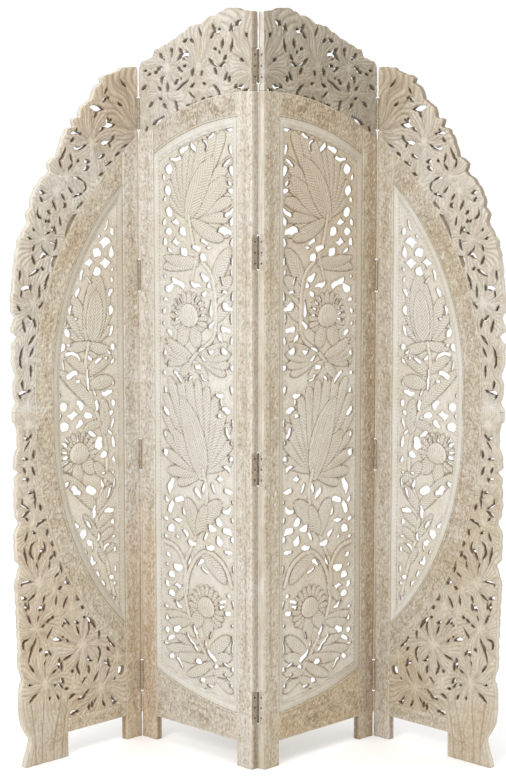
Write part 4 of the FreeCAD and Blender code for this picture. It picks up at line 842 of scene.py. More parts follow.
def flecks(F, R, seed, per=46.0, deep=0.8, tone=0.62, margin=6.0, low=64.0, grain=None, patchy=1.0):
    """Close small knife cuts over a member, darker in patches where the stain stayed."""
    r = rng(seed)
    P = blur(r.normal(size=F.H.shape), 7)
    P = P / (P.std() + 1e-9)
    if grain is not None:
        P = 0.62 * P + 0.95 * grain
    P = np.clip(0.5 + 0.33 * patchy * P, 0.06, 1.0)
    ok = np.argwhere((R > margin) & (F.Z > low))
    count = int(len(ok) * F.p * F.p / per)
    for k in r.randint(0, len(ok), count):
        i, j = ok[k]
        c = np.array([F.t[j], F.z[i]])
        a = r.uniform(0, math.pi)
        ln, bow = r.uniform(2.5, 6.5), r.uniform(-0.55, 0.55)
        e = np.array([math.cos(a), math.sin(a)])
        n = np.array([-e[1], e[0]])
        pts = curve([c - e * ln, c + n * bow * ln * 2, c + e * ln], 4)
        sl = F.window(pts[:, 0].min() - 4, pts[:, 0].max() + 4, pts[:, 1].min() - 4, pts[:, 1].max() + 4)
        if sl is None:
            continue
        d, s, lat = along(F.T[sl], F.Z[sl], pts)
        g = np.exp(-(d / 1.25) ** 2) * np.clip(R[sl] / 4.0, 0, 1)
        F.H[sl] -= deep * g * r.uniform(0.6, 1.2)
        np.maximum(F.mark[sl], tone * P[i, j] * g, out=F.mark[sl])
    F.tint = 0.95 * np.clip((P - 0.50) * 2.2, 0, 1) * np.clip(R / 10.0, 0, 1) * (F.Z > low)
    F.mark = np.maximum(F.mark, 0.10 * F.tint)


MIDDLE_HINGES = (1700.0, 1262.0, 741.0, 153.0)


def close_edge(F):
    """The middle edges stand nearly together between the hinges: how far they reach past the board's edge, and back."""
    away = np.min([np.abs(F.Z - z) for z in MIDDLE_HINGES], axis=0)
    reach = np.where(away > 41.0, 1.45, 0.0)
    F.lip = np.where(away > 41.0, np.where(F.Z < 1640, 3.7, 2.25), 0.0) * np.clip((F.T - 389.0) / 8.0, 0, 1)
    return W + reach


SIDE_HINGES = (1592.0, 1190.0, 735.0, 160.0)


def close_side(F):
    """The side edges stand close too between their hinges: where they begin, and how far they lean forward."""
    away = np.min([np.abs(F.Z - z) for z in SIDE_HINGES], axis=0)
    tight = (F.Z > 64) & (F.Z < 1545)
    F.lead = np.where(away > 41.0, np.where(tight, 3.7, 1.9), 0.0) * np.clip((11.0 - F.T) / 8.0, 0, 1)
    return np.where(away > 41.0, np.where(tight, -1.45, -1.15), 0.0)


def stile(pans, name, t0, t1, seed, outer=False, tone=0.55):
    F = Field(t0 - 3, t1 + 5, -3, 1660, ground=0.0, outer=outer)
    top = np.where(F.Z > 900, oval(F, OA, OT, OTC), 99.0)
    edge = close_edge(F) if t1 > 399 else t1
    first = close_side(F) if t0 < 1 else t0
    R = np.minimum(np.minimum(F.T - first, edge - F.T), F.Z)
    around, R = R, np.minimum(R, top)
    F.H[:] = 0.0
    hand_marks(F, seed)
    mid = (t0 + t1) / 2
    vine(F, [(mid, 70), (mid, 1640)], 8.0, 66.0, 15.0, 4.6, 0.5)
    long = grained(F.Z, F.T, seed + 90)
    flecks(F, R, seed + 60, tone=tone, grain=long)
    wisp = np.clip(0.55 + 0.40 * long, 0, 1)
    if t1 > 399:
        F.mark = np.maximum(F.mark, 0.06 + 0.40 * wisp * np.exp(-((F.T - 380.0) / 8.0) ** 2))
    else:
        # a dark band along the side-fold edge, deeper towards the bottom: dirt and painted shade in the valley of the
        # fold
        fold_dirt_and_shade = (0.20 if outer else 0.10) + 0.16 * np.clip((900.0 - F.Z) / 600.0, 0, 1)
        F.mark = np.maximum(F.mark, fold_dirt_and_shade * (0.4 + wisp) * np.exp(-(np.maximum(F.T, 0) / 13.0) ** 2))
        F.mark = F.mark + 0.12 * np.clip((420.0 - F.Z) / 260.0, 0, 1)
    F.mark = np.maximum(F.mark, 0.16 * np.clip((150.0 - F.Z) / 80.0, 0, 1) * (0.5 + wisp))
    for e in (t0 + 6.5, t1 - 6.5):
        g = np.exp(-((F.T - e) / 1.1) ** 2) * (F.Z > 66)
        F.H -= 0.5 * g
        np.maximum(F.mark, 0.22 * g, out=F.mark)
    ease(F, around)
    marks(F, 4, 0.25, 0.5)
    wear_edges(F, around)
    # painted shade on the walls, darker below 130 mm
    flat_piece(pans, F, R, name, wall_shade=0.5 + 0.30 * np.clip((130.0 - F.Z) / 60.0, 0, 1))


stile(CENTRE, "fold_stile", 0.0, 50.0, 3)
stile(CENTRE, "centre_stile", 350.0, 400.0, 4)
stile(OUTER, "fold_stile", 0.0, 50.0, 5, outer=True)


def arc_path(zc, a, b, q0, q1, low=False, outer=False, n=14):
    out = []
    for q in np.linspace(q0, q1, n):
        dz = b * math.sqrt(max(0.0, 1 - (q / a) ** 2))
        out.append(((q - (W + 3 * G)) if outer else (G + W - q), zc - dz if low else zc + dz))
    return out


def rail_line(F, D, at, wide=1.2, deep=0.9, mark=0.55):
    g = np.exp(-((D - at) / wide) ** 2)
    F.H -= deep * g
    np.maximum(F.mark, mark * g, out=F.mark)


# arched top rail of the middle panels
F = Field(47, 353, 1470, 1650, ground=0.0)
inner = -oval(F, OA - RAIL, OT - RAIL, OTC)
outer_d = oval(F, OA, OT, OTC)
R = np.minimum(np.minimum(F.T - 50, 350 - F.T), np.minimum(inner, outer_d))
F.H[:] = 0
hand_marks(F, 11)
vine(F, arc_path(OTC, OA - 26, OT - 26, 50, 356), 9.0, 64.0, 16.0, 4.8, 0.5)
flecks(F, R, 71, tone=0.80, low=0.0)
F.mark = np.maximum(F.mark, 0.07)
rail_line(F, inner, 5.0)
rail_line(F, outer_d, 5.0, mark=0.35)
ease(F, R)
marks(F, 4, 0.25, 0.5)
wear_edges(F, R)
flat_piece(CENTRE, F, R, "top_rail", mat=M_RAIL)

# bottom rail of the middle panels, hollowed along its top edge
F = Field(47, 353, 58, 200, ground=0.0)
sill = -oval(F, OA - RAIL, SILL, SILLC)
R = np.minimum(np.minimum(F.T - 50, 350 - F.T), np.minimum(sill, F.Z - 62))
F.H[:] = 0
hand_marks(F, 12)
vine(F, [(56, 122), (140, 108), (240, 96), (344, 90)], 13.0, 84.0, 21.0, 6.0, 0.5)
flecks(F, R, 72, per=38.0, tone=0.74, low=0.0, grain=grained(F.T, F.Z + 0.10 * F.T, 95, 60.0, 4.0), patchy=0.55)
F.mark = np.maximum(F.mark, 0.03)
rail_line(F, sill, 5.0)
rail_line(F, F.Z - 62, 6.0, mark=0.35)
ease(F, R)
marks(F, 4, 0.25, 0.5)
wear_edges(F, R)
flat_piece(CENTRE, F, R, "bottom_rail", mat=M_RAIL)

# arc rails of the outer panels
for name, lo, hi, low in (("upper_arc_rail", SPLIT, 1500, False), ("lower_arc_rail", 225, SPLIT, True)):
    F = Field(47, 345, lo - 5, hi + 5, ground=0.0, outer=True)
    inner = -oval_ring(F, RAIL)
    outer_d = oval_ring(F, 0.0)
    R = np.minimum(np.minimum(F.T - 50, outer_d), np.minimum(inner, (SPLIT - F.Z) if low else (F.Z - SPLIT)))
    F.H[:] = 0
    hand_marks(F, 13)
    b, zc = (OL, OLC) if low else (OT, OTC)
    th = np.linspace(math.radians(2), math.radians(51), 18)
    path = [((OA - 27) * math.cos(x) - (W + 3 * G), zc + (-1 if low else 1) * (b - 27) * math.sin(x)) for x in th]
    vine(F, path, 9.0, 66.0, 16.0, 4.8, 0.45)
    bend = np.arctan2((F.Z - zc) / b, F.Q / OA) * 720.0
    flecks(F, R, 73 + (1 if low else 0), per=38.0, tone=0.80, low=0.0, grain=grained(bend, outer_d, 93, 110.0, 3.4), patchy=0.50)
    rail_line(F, inner, 5.0)
    rail_line(F, outer_d, 5.0, mark=0.35)
    ease(F, np.minimum(np.minimum(F.T - 50, outer_d), inner))
    marks(F, 4, 0.25, 0.5)
    wear_edges(F, np.minimum(outer_d, inner))
    flat_piece(OUTER, F, R, name, mat=M_RAIL)

# bottom rail of the outer panels
F = Field(47, 250, 58, 101, ground=0.0, outer=True)
R = np.minimum(np.minimum(F.T - 50, FOOT_T - 0.2 - F.T), np.minimum(97 - F.Z, F.Z - 62))
F.H[:] = 0
hand_marks(F, 14)
vine(F, [(54, 80), (242, 80)], 5.0, 56.0, 11.0, 3.6, 0.45)
flecks(F, R, 75, tone=0.6, margin=4.0, low=0.0, patchy=0.7)
ease(F, R)
marks(F, 4, 0.25, 0.5)
wear_edges(F, R)
flat_piece(OUTER, F, R, "bottom_rail", mat=M_RAIL)


# ---------------------------------------------------------------- beading round the frets
def beading(pans, F, side, arc, w_side, w_arc):
    win = np.minimum(side, arc) - 0.3
    R = np.minimum(win, np.maximum(w_side - side, w_arc - arc))
    e = np.clip(np.minimum(side / w_side, arc / w_arc), 0, 1)
    drop = 1.0 + 4.2 * (e ** 1.6)
    F.H[:] = -drop
    for at, deep, tone in ((0.02, 0.5, 0.85), (0.24, 0.5, 0.15), (0.70, 0.5, 0.25)):
        g = np.exp(-((e - at) / 0.055) ** 2)
        F.H -= deep * g
        np.maximum(F.mark, tone * g, out=F.mark)
    dots = np.exp(-((e - 0.86) / 0.09) ** 2) * (0.5 + 0.5 * np.cos(F.Z * 2 * math.pi / 9.0)) ** 3
    F.H -= 0.8 * dots
    np.maximum(F.mark, 0.40 * dots, out=F.mark)
    hand_marks(F, 21, 0.2)
    F.H = np.clip(F.H, -5.8, -0.6)
    marks(F, 3, 0.2, 0.5)
    M1 = mesh_field(F, R, -F.H, np.full(F.H.shape, 6.0), None)
    M2 = mesh_field(F, R, np.full(F.H.shape, 16.0), np.clip(T + F.H * 0.75, 16.6, 19.2), None)
    for pan in pans:
        board(pan, pan.key + "_front_beading", M1, M_BEAD, [pan.key + "_beading"])
        board(pan, pan.key + "_back_beading", M2, M_BEAD, [pan.key + "_beading"])


F = Field(45, 355, 120, 1600)
side = np.minimum(F.T - 50, 350 - F.T)
arc = np.where(F.Z > 700, oval(F, OA - RAIL, OT - RAIL, OTC), oval(F, OA - RAIL, SILL, SILLC))
beading(CENTRE, F, side, arc, 17.0, 24.0)
F = Field(45, 300, 290, 1440, outer=True)
beading(OUTER, F, F.T - 50, oval_ring(F, RAIL), 17.0, 24.0)


# ---------------------------------------------------------------- sawn openings
def through(points):
    """A line that passes through every point given."""
    pts = np.array(points, float)
    if len(pts) == 3:
        a, b, c = pts
        pts = np.array([a, a * 0.375 + b * 0.75 - c * 0.125, b, -a * 0.125 + b * 0.75 + c * 0.375, c])
    return curve(pts, 4)


def pierce(F, h, lean=2.5, sharp=False):
    """Cut one opening: an ellipse, a star or a slot, drawn a little wider towards the fold edge."""
    if isinstance(h[0], tuple):
        pts, hw = through(h[:-1]), h[-1] * 0.92 + lean * 0.3
        if sharp:
            pts = np.vstack([pts[0] + (pts[0] - pts[1]) / (np.hypot(*(pts[0] - pts[1])) + 1e-6) * hw * 0.9, pts,
                             pts[-1] + (pts[-1] - pts[-2]) / (np.hypot(*(pts[-1] - pts[-2])) + 1e-6) * hw * 0.9])
        else:
            pts = pts - np.array([lean * 0.8, 0.0])
        m = hw + 14
        sl = F.window(pts[:, 0].min() - m, pts[:, 0].max() + m, pts[:, 1].min() - m, pts[:, 1].max() + m)
        if sl is None:
            return
        d, s, lat = along(F.T[sl] + F.wt[sl], F.Z[sl] + F.wz[sl], pts)
        if sharp:
            turn = (int(h[0][0]) + int(h[0][1])) % 2
            q = s if turn else 1 - s
            e = hw * 1.32 * np.sin(math.pi * np.clip(q, 0.02, 0.98) ** 0.78) ** 0.62 - d
        else:
            e = hw * (0.80 + 0.28 * np.sin(math.pi * np.clip(s * 0.94 + 0.03, 0, 1))) - d
    else:
        t, z, rx, rz = h[:4]
        t, rx, rz = t - lean, rx * 0.93 + lean, rz * 0.95 + 0.4
        sl = F.window(t - rx - 14, t + rx + 14, z - rz - 14, z + rz + 14)
        if sl is None:
            return
        x, y = np.abs(F.T[sl] + F.wt[sl] - t) / rx, np.abs(F.Z[sl] + F.wz[sl] - z) / rz
        p = 0.78 if len(h) > 4 else 2.3
        f = (np.maximum(x, 0.012) ** p + np.maximum(y, 0.012) ** p) ** (1 / p)
        e = (1 - f) * min(rx, rz)
    np.minimum(F.S[sl], -e, out=F.S[sl])
    np.minimum(F.near[sl], np.maximum(-e, 0), out=F.near[sl])


# openings of the middle panels' fret, along the panel and up from the floor
OPEN_C = [
    (100, 1456, 15, 11), (97, 1404, 12, 11), (85, 1380, 5, 7), (82, 1433, 4, 6), (102, 1351, 13, 12), (86, 1327, 7, 7),
    (126, 1327, 19, 13, 1), (100, 1302, 12, 12), (150, 1306, 14, 13), ((108, 1480), (145, 1486), 5), ((143, 1502), (165, 1508), 8),
    ((180, 1516), (196, 1504), 8), ((225, 1527), (238, 1518), (242, 1502), 3.6), ((244, 1533), (268, 1543), 5), ((308, 1556), (328, 1550), 4),
    (324, 1508, 5, 14), ((298, 1465), (322, 1482), 5.5), (326, 1455, 5, 10), (320, 1426, 4, 6), (325, 1405, 6, 7), ((308, 1352), (330, 1362), 5.5),
    (326, 1332, 5, 12), ((285, 1312), (320, 1308), 8), (85, 1277, 7, 7), (128, 1277, 20, 13, 1), ((97, 1260), (110, 1248), 5.5),
    (156, 1253, 14, 11), ((190, 1268), (215, 1263), 6.5), (225, 1243, 12, 11), ((215, 1285), (238, 1280), 4.5), (246, 1268, 11, 8, 1),
    (326, 1281, 5, 12), (328, 1238, 5, 10), (325, 1213, 4, 5), ((286, 1198), (292, 1180), 6.5), ((220, 1200), (238, 1188), 8),
    ((182, 1178), (215, 1172), 5.5), (245, 1175, 8, 6), ((112, 1186), (150, 1172), 7), ((95, 1158), (112, 1170), 9), (83, 1188, 5, 5),
    (88, 1133, 8, 5), (230, 1155, 10, 6), ((252, 1135), (254, 1105), 5.5), ((229, 1106), (217, 1103), 2.4), ((225, 1122), (214, 1115), 2.4), ((214, 1136), (207, 1126), 2.2), ((199, 1146), (196, 1135), 2), (328, 1155, 5, 10),
    ((295, 1128), (322, 1122), 8), ((292, 1073), (322, 1072), 6.5), ((282, 1055), (290, 1040), 7.5), ((248, 1075), (258, 1085), 5.5),
    (103, 1053, 9, 7), ((121, 1116), (133, 1111), 2.4), ((119, 1100), (131, 1099), 2.4), ((120, 1083), (132, 1085), 2.4),
    ((130, 1130), (141, 1122), 2.2), ((144, 1141), (151, 1131), 2), (300, 1020, 12, 6), (326, 1100, 4, 10), (326, 1045, 4, 8), (90, 1033, 6, 4),
    ((205, 1012), (230, 1022), 4.5), (252, 1015, 10, 6), (203, 973, 9, 7), ((122, 955), (145, 932), 6), ((218, 955), (225, 943), (240, 943), 3.6),
    ((172, 942), (184, 952), 4), (225, 993, 8, 4), ((90, 968), (100, 978), 3), ((80, 860), (95, 848), 7.5), (85, 793, 7, 8), (83, 748, 9, 9),
    ((270, 912), (298, 905), 5.5), (290, 893, 6, 8), ((290, 877), (320, 872), 5.5), ((275, 858), (290, 858), 3.5), ((305, 830), (315, 812), 7.5),
    (328, 800, 5, 7), (325, 755, 6, 5), ((298, 735), (318, 728), 7), (328, 845, 4, 10), (327, 925, 4, 12), (327, 980, 4, 9), (281, 703, 15, 15, 1),
    ((253, 682), (264, 670), 6.5), ((298, 678), (322, 676), 6), ((222, 685), (222, 665), 5.5), ((196, 665), (210, 651), 8), ((108, 682), (98, 655), 10),
    (88, 633, 6, 6), ((118, 630), (150, 639), 6.5), ((105, 622), (98, 605), 9.5), ((150, 614), (156, 600), 4.5), (131, 582, 20, 12, 1),
    (85, 582, 6, 6), (103, 557, 12, 11), ((150, 556), (165, 550), 7.5), ((168, 533), (195, 532), 6.5), (127, 540, 5, 5), (85, 533, 6, 4),
    ((235, 562), (226, 545), 5.5), ((245, 575), (265, 577), 7.5), (280, 597, 12, 9), ((292, 578), (322, 575), 6.5), (282, 550, 10, 10),
    ((295, 625), (320, 628), 6.5), ((300, 528), (322, 525), 5), ((230, 530), (258, 526), 5.5), (328, 605, 4, 8), (326, 560, 4, 8), (90, 487, 8, 6),
    (130, 462, 17, 9), ((175, 492), (166, 478), 4.5), ((205, 482), (220, 490), 4), ((220, 470), (240, 463), 5.5), (103, 440, 12, 11), (88, 460, 5, 5),
    (88, 412, 8, 8), (127, 412, 17, 11, 1), (106, 390, 9, 8), ((122, 375), (140, 362), 5.5), (312, 370, 9, 6), (315, 415, 6, 6),
    ((280, 396), (300, 402), 3), ((280, 385), (300, 388), 3), (85, 293, 7, 6), ((112, 296), (138, 306), 6.5), ((92, 272), (110, 278), 5.5),
    ((188, 322), (198, 300), 5.5), ((165, 292), (200, 262), 5.5), ((230, 288), (236, 276), 4.5), ((250, 318), (244, 298), 3.5),
    ((245, 258), (265, 250), 8), (105, 228, 10, 6), ((128, 225), (145, 208), 5.5), (208, 232, 12, 10), ((210, 188), (225, 192), 5.5),
    ((242, 180), (256, 178), 4.5), (270, 232, 5, 6), ((295, 245), (310, 240), 4.5), (315, 203, 6, 5), ((327, 318), (326, 275), 3), (328, 235, 4, 6),
    (325, 190, 4, 4), (305, 215, 4, 5), (300, 1160, 6, 4), (86, 1105, 6, 6), (84, 1076, 5, 5), (86, 1002, 5, 6), (84, 950, 4, 6), (84, 905, 4, 6),
    (86, 355, 5, 5), (88, 322, 5, 6), (86, 258, 5, 4), (330, 395, 3, 9), (328, 345, 4, 6), (328, 485, 3, 9), (327, 648, 3, 7)]

# openings of the outer panels' fret
OPEN_O = [
    ((93, 1329), (108, 1310), 3), (82, 1303, 9, 12), (127, 1291, 4, 5), (105, 1276, 22, 19, 1), (132, 1252, 13, 12), ((82, 1262), (86, 1240), 6),
    (157, 1228, 16, 18, 1), (106, 1225, 22, 17, 1), (133, 1204, 13, 10), ((178, 1210), (186, 1190), 5.5), ((163, 1192), (152, 1180), 3),
    ((194, 1162), (200, 1148), 5.5), ((220, 1122), (222, 1106), 6), ((234, 1064), (228, 1052), 5.5), (240, 1082, 3, 6), (84, 1182, 4, 7),
    ((82, 1155), (94, 1144), 5.5), ((82, 1116), (90, 1095), 5), ((82, 1065), (88, 1046), 5.5), (82, 1210, 5, 5), (246, 1024, 11, 11),
    (82, 1013, 6, 6), ((102, 1006), (92, 998), 4), ((236, 1004), (208, 1003), (190, 992), 5), ((163, 996), (152, 990), 5.5), ((142, 980), (122, 987), 4.5),
    (107, 985, 5, 4), ((82, 984), (88, 974), 4.5), ((248, 990), (243, 970), 4), ((232, 951), (205, 957), 7.5), ((167, 958), (165, 918), 5),
    (199, 933, 5, 4), (262, 903, 7, 8), (104, 901, 19, 10, 1), ((118, 900), (90, 900), 5.5), (82, 928, 4, 8), ((148, 910), (142, 900), 3.6), (245, 877, 12, 12),
    ((196, 880), (183, 872), 9), ((134, 880), (136, 866), 9), (82, 873, 5, 10), (262, 854, 8, 7), (217, 853, 22, 15, 1), ((175, 853), (155, 846), 7),
    (88, 850, 5, 5), (244, 828, 13, 12), ((200, 828), (184, 833), 8), ((82, 832), (84, 814), 5.5), ((163, 808), (142, 797), 4), ((100, 806), (88, 796), 4.5),
    (130, 775, 13, 15), ((82, 785), (82, 765), 5.5), ((122, 748), (110, 745), 6.5), ((252, 768), (237, 760), 2.6), ((249, 752), (236, 752), 3.2),
    ((245, 736), (233, 740), 2.6), ((250, 790), (236, 778), 2.6), ((240, 800), (231, 788), 2.4), ((201, 802), (199, 788), 2.6), ((187, 797), (185, 786), 2.6),
    ((175, 792), (172, 783), 2.6), (80, 730, 4, 8), ((252, 688), (236, 688), 7), ((218, 672), (200, 660), 7.5), ((172, 664), (146, 657), 9),
    ((124, 680), (118, 662), 5.5), ((84, 682), (82, 664), 5), ((97, 655), (105, 636), 5.5), ((110, 602), (82, 600), 5.5), ((147, 615), (152, 592), 6.5),
    ((222, 590), (202, 572), 6.5), ((174, 580), (164, 570), 5), (186, 550, 12, 11), ((172, 530), (158, 528), 5.5), ((157, 522), (156, 508), 2.8),
    ((183, 510), (173, 500), 4), ((133, 552), (135, 532), 3.6), ((118, 502), (102, 514), 5), (84, 533, 6, 4), ((156, 490), (154, 472), 6),
    ((162, 476), (147, 474), 5), ((141, 450), (134, 440), 4.5), ((128, 422), (118, 412), 4), ((97, 433), (84, 424), 5), (80, 450, 4, 8), (82, 410, 4, 5),
    (85, 372, 4, 6), (100, 384, 5, 4), (115, 700, 4, 3), (86, 698, 4, 5), (84, 572, 4, 6), (82, 500, 4, 6), (205, 1092, 4, 4), (226, 1030, 4, 4)]


# ---------------------------------------------------------------- fret of the middle panels
def low(F, p0, p1, hw, top, **k):
    k.setdefault("drop", 1.5)
    k.setdefault("vein", 0.8)
    k.setdefault("groove", 1.7)
    lobe(F, p0, p1, hw, top, **k)


def bloom(F, c, z, r0, r1, turn=90.0, top=-3.6):
    """A sunflower seen aslant: a hatched dome, rounded petals over it and pointed leaves below."""
    for k, size, wide in ((66, 0.95, 0.25), (-66, 0.95, 0.25), (26, 1.24, 0.33), (-26, 1.24, 0.33)):
        a = math.radians(turn + 180 + k)
        low(F, (c + 0.3 * r0 * math.cos(a), z + 0.3 * r0 * math.sin(a)),
            (c + r1 * size * math.cos(a), z + r1 * size * math.sin(a)), r1 * wide, top - 0.3, tip=0.46)
    for k in sorted(np.linspace(-1, 1, 13), key=lambda v: -abs(v)):
        a = math.radians(turn + k * 106)
        low(F, (c + 0.72 * r0 * math.cos(a), z + 0.72 * r0 * math.sin(a)),
            (c + r1 * 1.10 * math.cos(a), z + r1 * 1.02 * math.sin(a)), r1 * 0.125, top, tip=0.40, vein=0.9, groove=2.6)
    dome(F, c, z, r0, top - 0.2, 2.0)


def finish_fret(F, side, arc, seed):
    hand_marks(F, seed, 0.3)
    F.S = fill_pinholes(keep_joined(F.S, 200), 3)
    lip = np.exp(-F.near / 2.2)
    ring = np.cos((F.near - 1.0) * 2 * math.pi / 8.5) * np.clip((17.0 - F.near) / 5.0, 0, 1) * (F.leaf < 0.05) * (F.near < 17)
    F.H += 0.45 * ring
    np.maximum(F.mark, 0.26 * np.clip(-ring, 0, 1) ** 2, out=F.mark)
    F.H -= 1.7 * lip
    # stain and painted shade round the edges of the openings
    np.maximum(F.mark, 0.42 * np.exp(-F.near / 1.7), out=F.mark)
    F.H = np.clip(F.H, -9.6, -1.2)
    marks(F, 4, 0.40, 0.5)
    F.R = np.minimum(F.S, np.minimum(side - 9.0, arc - 13.0))
    # painted shade on the walls of the openings
    F.wall_shade[:] = 0.62
    F.front, F.back = -F.H, 14.4 - (F.H + 7.0) * 0.25 - 2.4 * lip


def centre_fret():
    F = Field(57, 343, 131, 1585, solid=6.0, ground=-7.2)
    F.near = np.full(F.T.shape, 99.0)
    F.warp(301, 2.1, 3)
    F.H[:] = -6.4
    # great palm leaf at the top
    base = (174, 1340)
    for tip, hw in (((322, 1300), 15), ((322, 1340), 15), ((104, 1382), 13), ((328, 1384), 16), ((98, 1428), 14), ((330, 1432), 17),
                    ((108, 1474), 15), ((328, 1486), 18), ((138, 1492), 16), ((302, 1548), 21), ((168, 1512), 17), ((268, 1546), 20),
                    ((204, 1526), 19), ((234, 1538), 19)):
        low(F, base, tip, hw, -3.4, bend=0.03, tip=0.36)
    low(F, base, (306, 1440), 24, -3.1, bend=-0.06, tip=0.6, rim=0.6)
    low(F, base, (268, 1488), 31, -2.7, bend=0.10, tip=0.75, rim=0.9)
    # leaves under it
    low(F, (186, 1332), (300, 1290), 19, -3.4, bend=-0.08, tip=0.6)
    low(F, (205, 1228), (78, 1212), 19, -3.3, bend=-0.10, tip=0.7)
    low(F, (205, 1234), (80, 1240), 15, -3.7, bend=0.10, tip=0.7)
    low(F, (262, 1172), (326, 1268), 22, -3.3, bend=0.12, tip=0.6)
    low(F, (268, 1150), (330, 1200), 17, -3.7, bend=0.10, tip=0.6)
    low(F, (262, 1090), (330, 1160), 16, -3.7, bend=-0.10, tip=0.6)
    stem(F, [(174, 1345), (186, 1290), (204, 1247), (243, 1217), (265, 1182), (271, 1097), (260, 1047), (210, 1014), (178, 985)], 4.6, -3.2)
    stem(F, [(204, 1247), (190, 1200), (176, 1170)], 3.6, -3.8)
    bloom(F, 174, 1094, 34, 64)
    # curled leaves between the flower and the second palm leaf
    for k in (200, 182, 164, 146):
        a = math.radians(k)
        low(F, (178, 1000), (178 + 104 * math.cos(a), 1000 + 62 * math.sin(a)), 15, -3.5, bend=0.08)
    for k in (-34, -14, 8, 28):
        a = math.radians(k)
        low(F, (214, 1004), (214 + 112 * math.cos(a), 1004 + 76 * math.sin(a)), 15, -3.5, bend=-0.08)
    low(F, (190, 985), (242, 944), 14, -3.7)
    low(F, (178, 980), (140, 944), 13, -3.7)
    # second palm leaf
    base = (224, 716)
    for tip, hw in (((128, 676), 14), ((330, 756), 16), ((92, 704), 15), ((330, 800), 16), ((78, 752), 16), ((322, 844), 17),
                    ((76, 802), 16), ((304, 884), 18), ((76, 852), 17), ((274, 912), 18), ((80, 902), 18), ((240, 930), 19),
                    ((100, 942), 19), ((206, 944), 18), ((136, 952), 19), ((170, 952), 18)):
        low(F, base, tip, hw, -3.4, bend=0.03, tip=0.36)
    low(F, base, (116, 810), 24, -3.1, bend=0.08, tip=0.6, rim=0.6)
    low(F, (218, 706), (144, 896), 37, -2.7, bend=-0.10, tip=0.75, rim=0.9)
    stem(F, [(224, 720), (238, 660), (226, 610), (196, 550), (166, 494)], 4.6, -3.2)
    # curled pair over the arching stems
    low(F, (196, 556), (158, 640), 23, -3.4, bend=-0.15, tip=0.5)
    low(F, (206, 566), (292, 646), 24, -3.4, bend=0.12, tip=0.5)
    low(F, (202, 560), (236, 632), 17, -3.0, bend=0.05, tip=0.5)
    stem(F, [(80, 522), (118, 514), (148, 486), (164, 440)], 5.2, -3.0)
    stem(F, [(160, 400), (168, 448), (194, 492), (230, 516), (266, 511), (304, 486), (326, 442)], 5.4, -2.8)
    low(F, (222, 504), (306, 446), 20, -3.4, bend=0.14, tip=0.6)
    stem(F, [(164, 492), (156, 440), (157, 396), (176, 333), (210, 283), (245, 243), (276, 196)], 4.8, -3.0)
    bloom(F, 234, 372, 31, 60, turn=70)
    for p0, p1, hw in (((168, 340), (82, 340), 13), ((172, 330), (92, 318), 13), ((214, 268), (84, 250), 16), ((206, 282), (116, 286), 12),
                       ((240, 246), (322, 316), 18), ((250, 238), (328, 266), 15), ((262, 214), (330, 226), 14), ((236, 250), (120, 236), 14),
                       ((250, 236), (160, 192), 14), ((270, 204), (204, 172), 12), ((276, 198), (330, 176), 12), ((160, 420), (110, 372), 12)):
        low(F, p0, p1, hw, -3.5, bend=0.08, tip=0.6)
    for h in OPEN_C:
        pierce(F, h)
    return F


F = centre_fret()
side = np.minimum(F.T - 50, 350 - F.T)
arc = np.where(F.Z > 700, oval(F, OA - RAIL, OT - RAIL, OTC), oval(F, OA - RAIL, SILL, SILLC))
finish_fret(F, side, arc, 31)
for part, z0, z1 in (("low", 0, 602), ("mid", 602, 1032), ("top", 1032, 1700)):
    M = mesh_field(F, np.minimum(F.R, np.minimum(F.Z - z0, z1 - F.Z)), F.front, F.back, 0.4, F.R)
    for pan in CENTRE:
        board(pan, "%s_fret_%s" % (pan.key, part), M, M_FRET, [pan.key + "_fret_panel"])


# ---------------------------------------------------------------- fret of the outer panels
def o(u, z):
    """A point of the outer panel from its distance to the free edge."""
    return ((400.0 - u) * 0.955, z)


def outer_fret():
    F = Field(57, 285, 300, 1420, solid=6.0, ground=-7.2, outer=True)
    F.near = np.full(F.T.shape, 99.0)
    F.warp(302, 1.9, 3)
    F.H[:] = -6.4
    # lotus bud
    for tip, hw in ((o(154, 1066), 13), (o(312, 1066), 13), (o(158, 1104), 15), (o(312, 1112), 16), (o(178, 1150), 18), (o(304, 1160), 19)):
        low(F, o(236, 1026), tip, hw, -3.7, tip=0.45)
    low(F, o(238, 1024), o(262, 1206), 38, -3.2, bend=0.03, tip=0.7, rim=0.7)
    low(F, o(242, 1036), o(256, 1160), 27, -2.6, bend=0.03, tip=0.7, rim=0.9)
    low(F, o(228, 1030), o(310, 1006), 14, -3.5, bend=0.12)
    low(F, o(236, 1030), o(152, 1024), 13, -3.5, bend=-0.12)
    stem(F, [o(228, 1030), o(219, 960), o(248, 872), o(279, 800), o(290, 740), o(284, 680), o(252, 612), o(262, 540), o(290, 460), o(322, 350)], 4.6, -3.2)
    low(F, o(216, 958), o(150, 1002), 15, -3.5, bend=0.16)
    low(F, o(224, 950), o(312, 990), 18, -3.5, bend=-0.12)
    low(F, o(232, 920), o(314, 930), 18, -3.5, bend=-0.10)
    low(F, o(250, 866), o(128, 968), 16, -3.5, bend=0.06)
    low(F, o(284, 800), o(276, 888), 18, -3.5, bend=0.10)
    low(F, o(270, 826), o(208, 812), 12, -3.7, bend=0.10)
    bloom(F, 197, 754, 31, 57, turn=70)
    low(F, o(284, 690), o(244, 730), 14, -3.7)
    low(F, o(286, 700), o(316, 672), 11, -3.7)
    low(F, o(256, 604), o(132, 712), 17, -3.2, bend=0.08)
    low(F, o(254, 610), o(312, 664), 15, -3.5, bend=-0.08)
    low(F, o(256, 566), o(314, 604), 14, -3.5, bend=-0.08)
    low(F, o(262, 530), o(314, 556), 12, -3.5)
    low(F, o(262, 536), o(206, 604), 10, -3.7)
    low(F, o(276, 500), o(316, 512), 10, -3.7)
    low(F, o(284, 470), o(258, 512), 9, -3.7)
    for h in OPEN_O:
        pierce(F, h)
    return F


